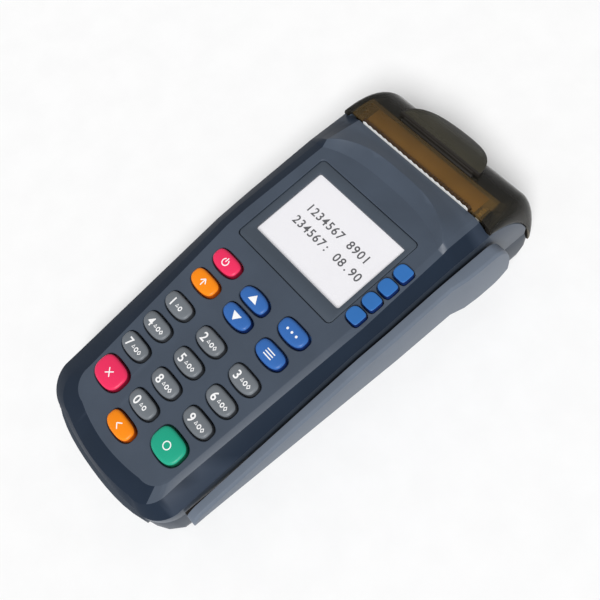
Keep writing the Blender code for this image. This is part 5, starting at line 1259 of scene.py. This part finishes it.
def platen_lug(side):
    """A lug under the lid that carries one end of the platen's shaft."""
    outline = []
    for step in range(LUG_STEPS + 1):
        angle = math.pi + step * math.pi / LUG_STEPS
        outline.append(away((PLATEN_Y, PLATEN_Z), PLATEN_LUG_ROUND, angle))
    top = LID_CROWN_Z - LID_NOSE_DROP / 2 - LID_WALL + SINK
    outline.append((PLATEN_Y + PLATEN_LUG_ROUND, top))
    outline.append((PLATEN_Y - PLATEN_LUG_ROUND, top))
    far = PLATEN_LUG_X + PLATEN_LUG_THICK
    low, high = (PLATEN_LUG_X, far) if side > 0 else (-far, -PLATEN_LUG_X)
    return slab(outline, low, high)


LEVER_Z = lid_point(LEVER_Y)[1] - LID_WALL / 2


def make_lid():
    """The smoked lid: a curved shell with barrel, platen lugs, tear bar seat and lever slot."""
    bm = bmesh.new()
    profile = lid_profile()
    rows = []
    for index, point in enumerate(profile):
        share = index / (len(profile) - 1)
        rows.append([bm.verts.new(place) for place in lid_row(point, share)])
    for front, rear in zip(rows, rows[1:]):
        for step in range(len(front) - 1):
            face = bm.faces.new((front[step], rear[step], rear[step + 1], front[step + 1]))
            middle = face.calc_center_median()
            # Over the amber strip the lid takes its lighter copy of the smoke: painted light.
            if abs(middle.x) < LID_PLATE_HALF and middle.y < LID_PLATE_REAR_Y:
                face.material_index = THIRD
    lid = new_piece("lid_shell", bm, ROOT, turned=True)
    for finish in (SMOKE, SHADE_BLACK, SMOKE_LIT):
        lid.data.materials.append(finish)
    # The lid shell's edges take the black painted shade, as the dark gaps round the lid.
    thicken(lid, LID_WALL, SECOND)
    place = (HINGE_Y, HINGE_Z)
    barrel = rod(HINGE_ROUND, -HINGE_HALF, HINGE_HALF, place)
    web_low = (-HINGE_HALF + SINK, HINGE_Y, HINGE_Z - HINGE_PIN)
    web_high = (HINGE_HALF - SINK, LID_REAR_Y - LID_WALL / 2, HINGE_Z + HINGE_PIN)
    fuse(lid, barrel, box(web_low, web_high))
    for side in (-1, 1):
        fuse(lid, platen_lug(side))
        low_x, high_x = sorted((side * LID_EAR_X, side * (SIDE_REAR_HALF + OVERRUN)))
        low = (low_x, CHEEK_Y, 0)
        cut(lid, box(low, (high_x, LID_REAR_Y + OVERRUN, LID_EAR_Z)))
    pin_half = HINGE_HALF + OVERRUN
    cut(lid, rod(HINGE_PIN + HINGE_FIT, -pin_half, pin_half, place))
    seat = TEAR_HALF + GAP
    seat_rear = LID_FRONT_Y + TEAR_THICK + GAP
    low = (-seat, LID_FRONT_Y - OVERRUN, TEAR_LOW - GAP)
    cut(lid, box(low, (seat, seat_rear, LID_CROWN_Z + OVERRUN)))
    slot_half = LEVER_BARREL_HALF + GAP
    low = (-slot_half, LEVER_Y - LEVER_SLOT_FRONT, LEVER_Z - LEVER_THICK - LID_WALL)
    cut(lid, box(low, (slot_half, LEVER_Y + LEVER_SLOT_REAR, LID_CROWN_Z + OVERRUN)))
    bore_half = LEVER_PIN_HALF + GAP
    cut(lid, rod(LEVER_PIN + HINGE_FIT, -bore_half, bore_half, (LEVER_Y, LEVER_Z), PIN_SIDES))
    plate_out = PAPER_HALF + 2 * GAP + FRAME_THICK
    lug_half = PLATEN_LUG_X + PLATEN_LUG_THICK + SINK
    for low, high in ((-lug_half, -plate_out), (plate_out, lug_half)):
        cut(lid, rod(SHAFT_ROUND + AXLE_FIT, low, high, (PLATEN_Y, PLATEN_Z), BARREL_SIDES))
    round_edges(lid, EDGE_ROUND)
    dress(smooth(lid, LID_SOFT_ANGLE), "lid", "lid_plastic", SMOKE, "printer_lid")


def lever_inside(y):
    """Half width of the lever's top inside the dark line painted along its edge as shade."""
    share = (y - LEVER_Y - LEVER_CHORD) / (LEVER_LONG - LEVER_CHORD - LEVER_LINE)
    return max((LEVER_HALF - LEVER_LINE) * math.sqrt(max(1 - share * share, 0)), LEVER_LINE_END)


def make_lever():
    """The D shaped lever on the lid's back, with its barrel and two latch fingers."""
    chord = LEVER_Y + LEVER_CHORD
    long = LEVER_LONG - LEVER_CHORD
    rings = []
    for step in range(LEVER_STEPS):
        share = math.sin(step / (LEVER_STEPS - LEVER_SHORT) * math.pi / 2)
        y = chord + long * share
        half = LEVER_HALF * math.sqrt(1 - share * share)
        point, normal = lid_point(y), lid_normal(y)
        lift = LEVER_LIFT + LEVER_TIP_LIFT * share
        under = [point[axis] + normal[axis] * lift for axis in (0, 1)]
        top = [point[axis] + normal[axis] * (lift + LEVER_THICK) for axis in (0, 1)]
        if half < LEVER_LINE:
            most = half / 2 + LEVER_LINE_END
        else:
            most = half - LEVER_LINE_END
        inside = min(lever_inside(y), most)
        ring = [(-half, *under), (half, *under), (half, *top)]
        rings.append(ring + [(inside, *top), (-inside, *top), (-half, *top)])
    lever = loft(rings, ROOT, "lever_plate")
    half = LEVER_BARREL_HALF
    plate_under = LEVER_Z + LID_WALL / 2 + LEVER_LIFT + SINK
    barrel = rod(LEVER_BARREL, -half, half, (LEVER_Y, LEVER_Z), BARREL_SIDES)
    low = (SINK - half, LEVER_Y + GAP, LEVER_Z - GAP)
    web = box(low, (half - SINK, chord + LEVER_WEB, plate_under))
    fuse(lever, web, barrel)
    for side in (-1, 1):
        x = side * FINGER_X
        low = (x - FINGER_HALF, LEVER_Y + FINGER_NEAR, LEVER_Z - FINGER_LONG)
        finger = box(low, (x + FINGER_HALF, LEVER_Y + FINGER_FAR, plate_under - GAP))
        fuse(lever, finger)
    bore = half + OVERRUN
    cut(lever, rod(LEVER_PIN + HINGE_FIT, -bore, bore, (LEVER_Y, LEVER_Z), PIN_SIDES))
    round_edges(lever, EDGE_ROUND)
    dress(smooth(lever, LID_SOFT_ANGLE), "lever", "lid_plastic", LEVER, "lid_lever")
    # The lever's edges, underside, web and barrel take the black painted shade, which leaves a
    # dark line round its top.
    lever.data.materials.append(SHADE_BLACK)
    start = chord + LEVER_WEB - CENTRE_Y
    for face in lever.data.polygons:
        if face.center.y >= start:
            place = face.center.y + CENTRE_Y
            y, z = lid_normal(place)
            inside = lever_inside(place)
            flat = abs(face.normal.y * y + face.normal.z * z) > LEVER_SIDE_SHARE
            if flat and inside > LEVER_LINE_END and abs(face.center.x) < inside:
                continue
        face.material_index = SECOND


def make_lid_plate():
    """The amber plate under the front of the lid."""
    plate = box(
        (-LID_PLATE_HALF, LID_PLATE_FRONT_Y, LID_PLATE_LOW),
        (LID_PLATE_HALF, LID_PLATE_REAR_Y, LID_PLATE_LOW + LID_PLATE_THICK),
        name="lid_plate",
    )
    round_edges(plate, EDGE_ROUND)
    dress(smooth(plate), "lid", "lid_plastic", AMBER)


# Print on keys and screen


def laid(bm, curve, height_of, start):
    """Add a filled curve to a mesh, moved by start, with every point lifted onto a face."""
    piece = filled(curve)
    bmesh.ops.triangulate(piece, faces=piece.faces)
    bmesh.ops.subdivide_edges(piece, edges=piece.edges, cuts=PRINT_CUTS, use_grid_fill=True)
    for vert in piece.verts:
        u, v = start[0] + vert.co.x, start[1] + vert.co.y
        vert.co = (u, v, height_of(u, v) + INK_LIFT)
    mesh = bpy.data.meshes.new("print")
    piece.to_mesh(mesh)
    piece.free()
    bm.from_mesh(mesh)
    bpy.data.meshes.remove(mesh)


def add_text(bm, text, start, tall, advance, height_of):
    """Characters in a row at an even advance; start is the first one's middle, at its foot."""
    for index, character in enumerate(text):
        curve = bpy.data.curves.new("print", "FONT")
        curve.body = character
        curve.align_x = "CENTER"
        curve.size = tall / DIGIT_SHARE
        curve.offset = tall * BOLD_SHARE
        laid(bm, curve, height_of, (start[0] + index * advance, start[1]))


def bar(middle, half, turn=0):
    """A straight bar with round ends, turned about its middle."""
    points = []
    for u, v in rounded_rectangle((0, 0), half, min(half) * BAR_ROUND_SHARE, BAR_STEPS):
        x = u * math.cos(turn) - v * math.sin(turn)
        points.append((middle[0] + x, middle[1] + u * math.sin(turn) + v * math.cos(turn)))
    return points


def frame_mark(middle, sides):
    """A small hollow mark with a number of even sides."""
    outlines = []
    for share in (1, MARK_INNER_SHARE):
        points = []
        for step in range(sides):
            angle = math.pi / 2 + step * math.tau / sides
            x = middle[0] + MARK_HALF * share * math.cos(angle)
            points.append((x, middle[1] + MARK_REACH * share * math.sin(angle)))
        outlines.append(points)
    return outlines


def arc(radius, half, start, end):
    """Part of a ring, as an outline."""
    angles = [between(start, end, step / ARC_STEPS) for step in range(ARC_STEPS + 1)]
    outer = [((radius + half) * math.cos(a), (radius + half) * math.sin(a)) for a in angles]
    inner = [((radius - half) * math.cos(a), (radius - half) * math.sin(a)) for a in angles]
    return outer + inner[::-1]


def arrow(size):
    """A triangle that points to the rear, or to the front when the size is negative."""
    half = abs(size) * ARROW_WIDE
    return [(-half, -size * ARROW_FOOT), (half, -size * ARROW_FOOT), (0, size * ARROW_TIP)]


# Outlines of each key's symbol round its middle; a ring stays open by a hair, to be one outline.
SYMBOLS = {
    "key_power": [
        arc(0.0014, STROKE, math.radians(120), math.radians(420)),
        bar((0, 0.0010), (STROKE, 0.0010)),
    ],
    "key_shift": [
        bar((0, -0.0004), (STROKE, 0.0013)),
        bar((-0.0007, 0.0006), (STROKE, 0.0011), math.radians(-42)),
        bar((0.0007, 0.0006), (STROKE, 0.0011), math.radians(42)),
    ],
    "key_up": [arrow(0.0020)],
    "key_down": [arrow(-0.0020)],
    "key_func": [bar((u, 0), (0.0005, 0.0005)) for u in (-0.0024, 0, 0.0024)],
    "key_menu": [bar((0, v), (0.0021, STROKE)) for v in (-0.0011, 0, 0.0011)],
    "key_cancel": [bar((0, 0), (STROKE, 0.0019), math.radians(turn)) for turn in (45, -45)],
    "key_clear": [
        bar((-0.0004, 0.0007), (STROKE, 0.0012), math.radians(-50)),
        bar((-0.0004, -0.0007), (STROKE, 0.0012), math.radians(50)),
    ],
    "key_enter": [arc(0.0015, STROKE, 0, math.radians(359.9))],
}


def make_legends():
    """White print on the keys: a digit and small marks, or a plain symbol."""
    for name, place, shape, _, slot, frame_of in key_places():
        if shape == "soft":
            continue

        def height_of(u, v):
            return crown(u, v, place, shape)

        bm = bmesh.new()
        if name in SYMBOLS:
            for outline in SYMBOLS[name]:
                laid(bm, flat_curve([outline]), height_of, place)
        else:
            start = (place[0] + DIGIT_U, place[1] - DIGIT_TALL / 2)
            add_text(bm, name[-1], start, DIGIT_TALL, 0, height_of)
            marks = MARK_SIDES[:FEW_MARKS] if name in FEW_MARK_KEYS else MARK_SIDES
            for index, sides in enumerate(marks):
                outlines = frame_mark((MARK_U + index * MARK_STEP, MARK_V), sides)
                laid(bm, flat_curve(outlines), height_of, place)
        legend = new_piece(name + "_legend", bm, frame_of, turned=True)
        dress(legend, name, slot, INK)


def make_screen():
    """The bezel, and two rows of plain numbers on the lit panel."""
    bezel = refined("display_bezel", BEZEL_ROUND)
    dress(bezel, "case", "cover_plastic", BEZEL, "display_bezel")
    level = -BEZEL_SINK - BEZEL_THICK - GAP
    bm = bmesh.new()
    for text, middle in ((SCREEN_TEXT_REAR, TEXT_REAR_S), (SCREEN_TEXT_FRONT, TEXT_FRONT_S)):
        add_text(bm, text, (TEXT_X, middle), TEXT_TALL, TEXT_STEP, lambda u, v: level)
    text = new_piece("screen_text", bm, SCREEN, turned=True)
    dress(text, "case", "panel_glass", SCREEN_INK)


def make_others():
    """Rounded copies of the base and the door, and a finer paper roll."""
    for name, body in (("base_cover", "case"), ("battery_door", "door")):
        dress(refined(name, EDGE_ROUND), body, "base_plastic", BASE, name)
    middle = (ROLL_Y, ROLL_Z)
    roll = rod(ROLL_ROUND, -PAPER_HALF, PAPER_HALF, middle, ROLL_SIDES, name="roll_body")
    long = PAPER_HALF + OVERRUN
    cut(roll, rod(ROLL_BORE, -long, long, middle, ROLL_BORE_SIDES))
    dress(smooth(roll, ROLL_SOFT_ANGLE), "roll", "paper", PAPER, "paper_roll")


FINISHES = {
    MAT: ("keypad_mat", "soft_key_mat"),
    RUBBER: ("foot_front", "foot_rear", "platen_roller"),
    GLASS: ("display_window",),
    LIT: ("lcd_panel",),
    WHITE: ("lcd_frame",),
    BLACK: ("card_connector", "battery_pack"),
    BOARD: ("main_board",),
    STEEL: (
        "mag_head", "mag_head_spring", "stepper_motor", "platen_shaft", "lever_pin",
        "lid_hinge_pin", "speaker", "case_screw_1", "case_screw_2", "case_screw_3", "case_screw_4",
    ),
    PLATED: ("printer_frame",),
    CERAMIC: ("print_head",),
    BRASS: ("motor_gear",),
    GEAR: ("idler_gear", "platen_gear"),
    PAPER: ("paper_tail",),
    TEAR: ("tear_bar",),
}


def finish_nodes():
    """Give each node that stays as built its finish."""
    for finish, names in FINISHES.items():
        for name in names:
            for material_slot in NODES[name].material_slots:
                material_slot.material = finish


# Floor, light and camera


def make_floor():
    """A wide pale floor that takes the shadow."""
    bm = bmesh.new()
    bmesh.ops.create_circle(bm, cap_ends=True, segments=FLOOR_SIDES, radius=FLOOR_ROUND)
    floor = new_piece("floor", bm, Matrix.Identity(4))
    floor.data.materials.append(FLOOR)


def make_world():
    """White where the camera, a reflection or clear plastic looks, and softer as a lamp."""
    world = bpy.data.worlds.new("studio")
    bpy.context.scene.world = world
    world.use_nodes = True
    nodes, links = world.node_tree.nodes, world.node_tree.links
    shader = nodes["Background"]
    shader.inputs["Color"].default_value = (1, 1, 1, 1)
    rays = nodes.new("ShaderNodeLightPath")
    seen = rays.outputs["Is Camera Ray"]
    for kind in ("Is Glossy Ray", "Is Transmission Ray"):
        add = nodes.new("ShaderNodeMath")
        add.operation = "MAXIMUM"
        links.new(seen, add.inputs[0])
        links.new(rays.outputs[kind], add.inputs[1])
        seen = add.outputs["Value"]
    links.new(ranged(world.node_tree, seen, AMBIENT, 1), shader.inputs["Strength"])


def make_lamp():
    """A soft sun, so that the floor is lit evenly."""
    lamp = bpy.data.lights.new("key_lamp", "SUN")
    lamp.angle = math.radians(LAMP_SPREAD)
    lamp.energy = LAMP_POWER
    made = linked("key_lamp", lamp)
    place = Vector(LAMP_PLACE)
    made.location = place
    made.rotation_euler = (Vector(LAMP_AIM) - place).to_track_quat("-Z", "Y").to_euler()


def make_camera():
    """The photo's view."""
    camera = bpy.data.cameras.new("camera")
    camera.lens = LENS
    camera.sensor_width = SENSOR
    camera.clip_start = CAMERA_NEAR
    made = linked("camera", camera)
    place = Vector(CAMERA_PLACE)
    made.location = place
    turn = Quaternion((0, 0, 1), math.radians(CAMERA_ROLL))
    made.rotation_mode = "QUATERNION"
    look = (Vector(CAMERA_AIM) - place).to_track_quat("-Z", "Y")
    made.rotation_quaternion = look @ turn
    bpy.context.scene.camera = made


make_top_cover()
make_keys()
make_rail()
make_lid()
make_lever()
make_lid_plate()
make_legends()
make_screen()
make_others()
finish_nodes()
make_floor()
make_world()
make_lamp()
make_camera()
bpy.context.scene.view_settings.view_transform = "Standard"

bpy.context.view_layer.update()
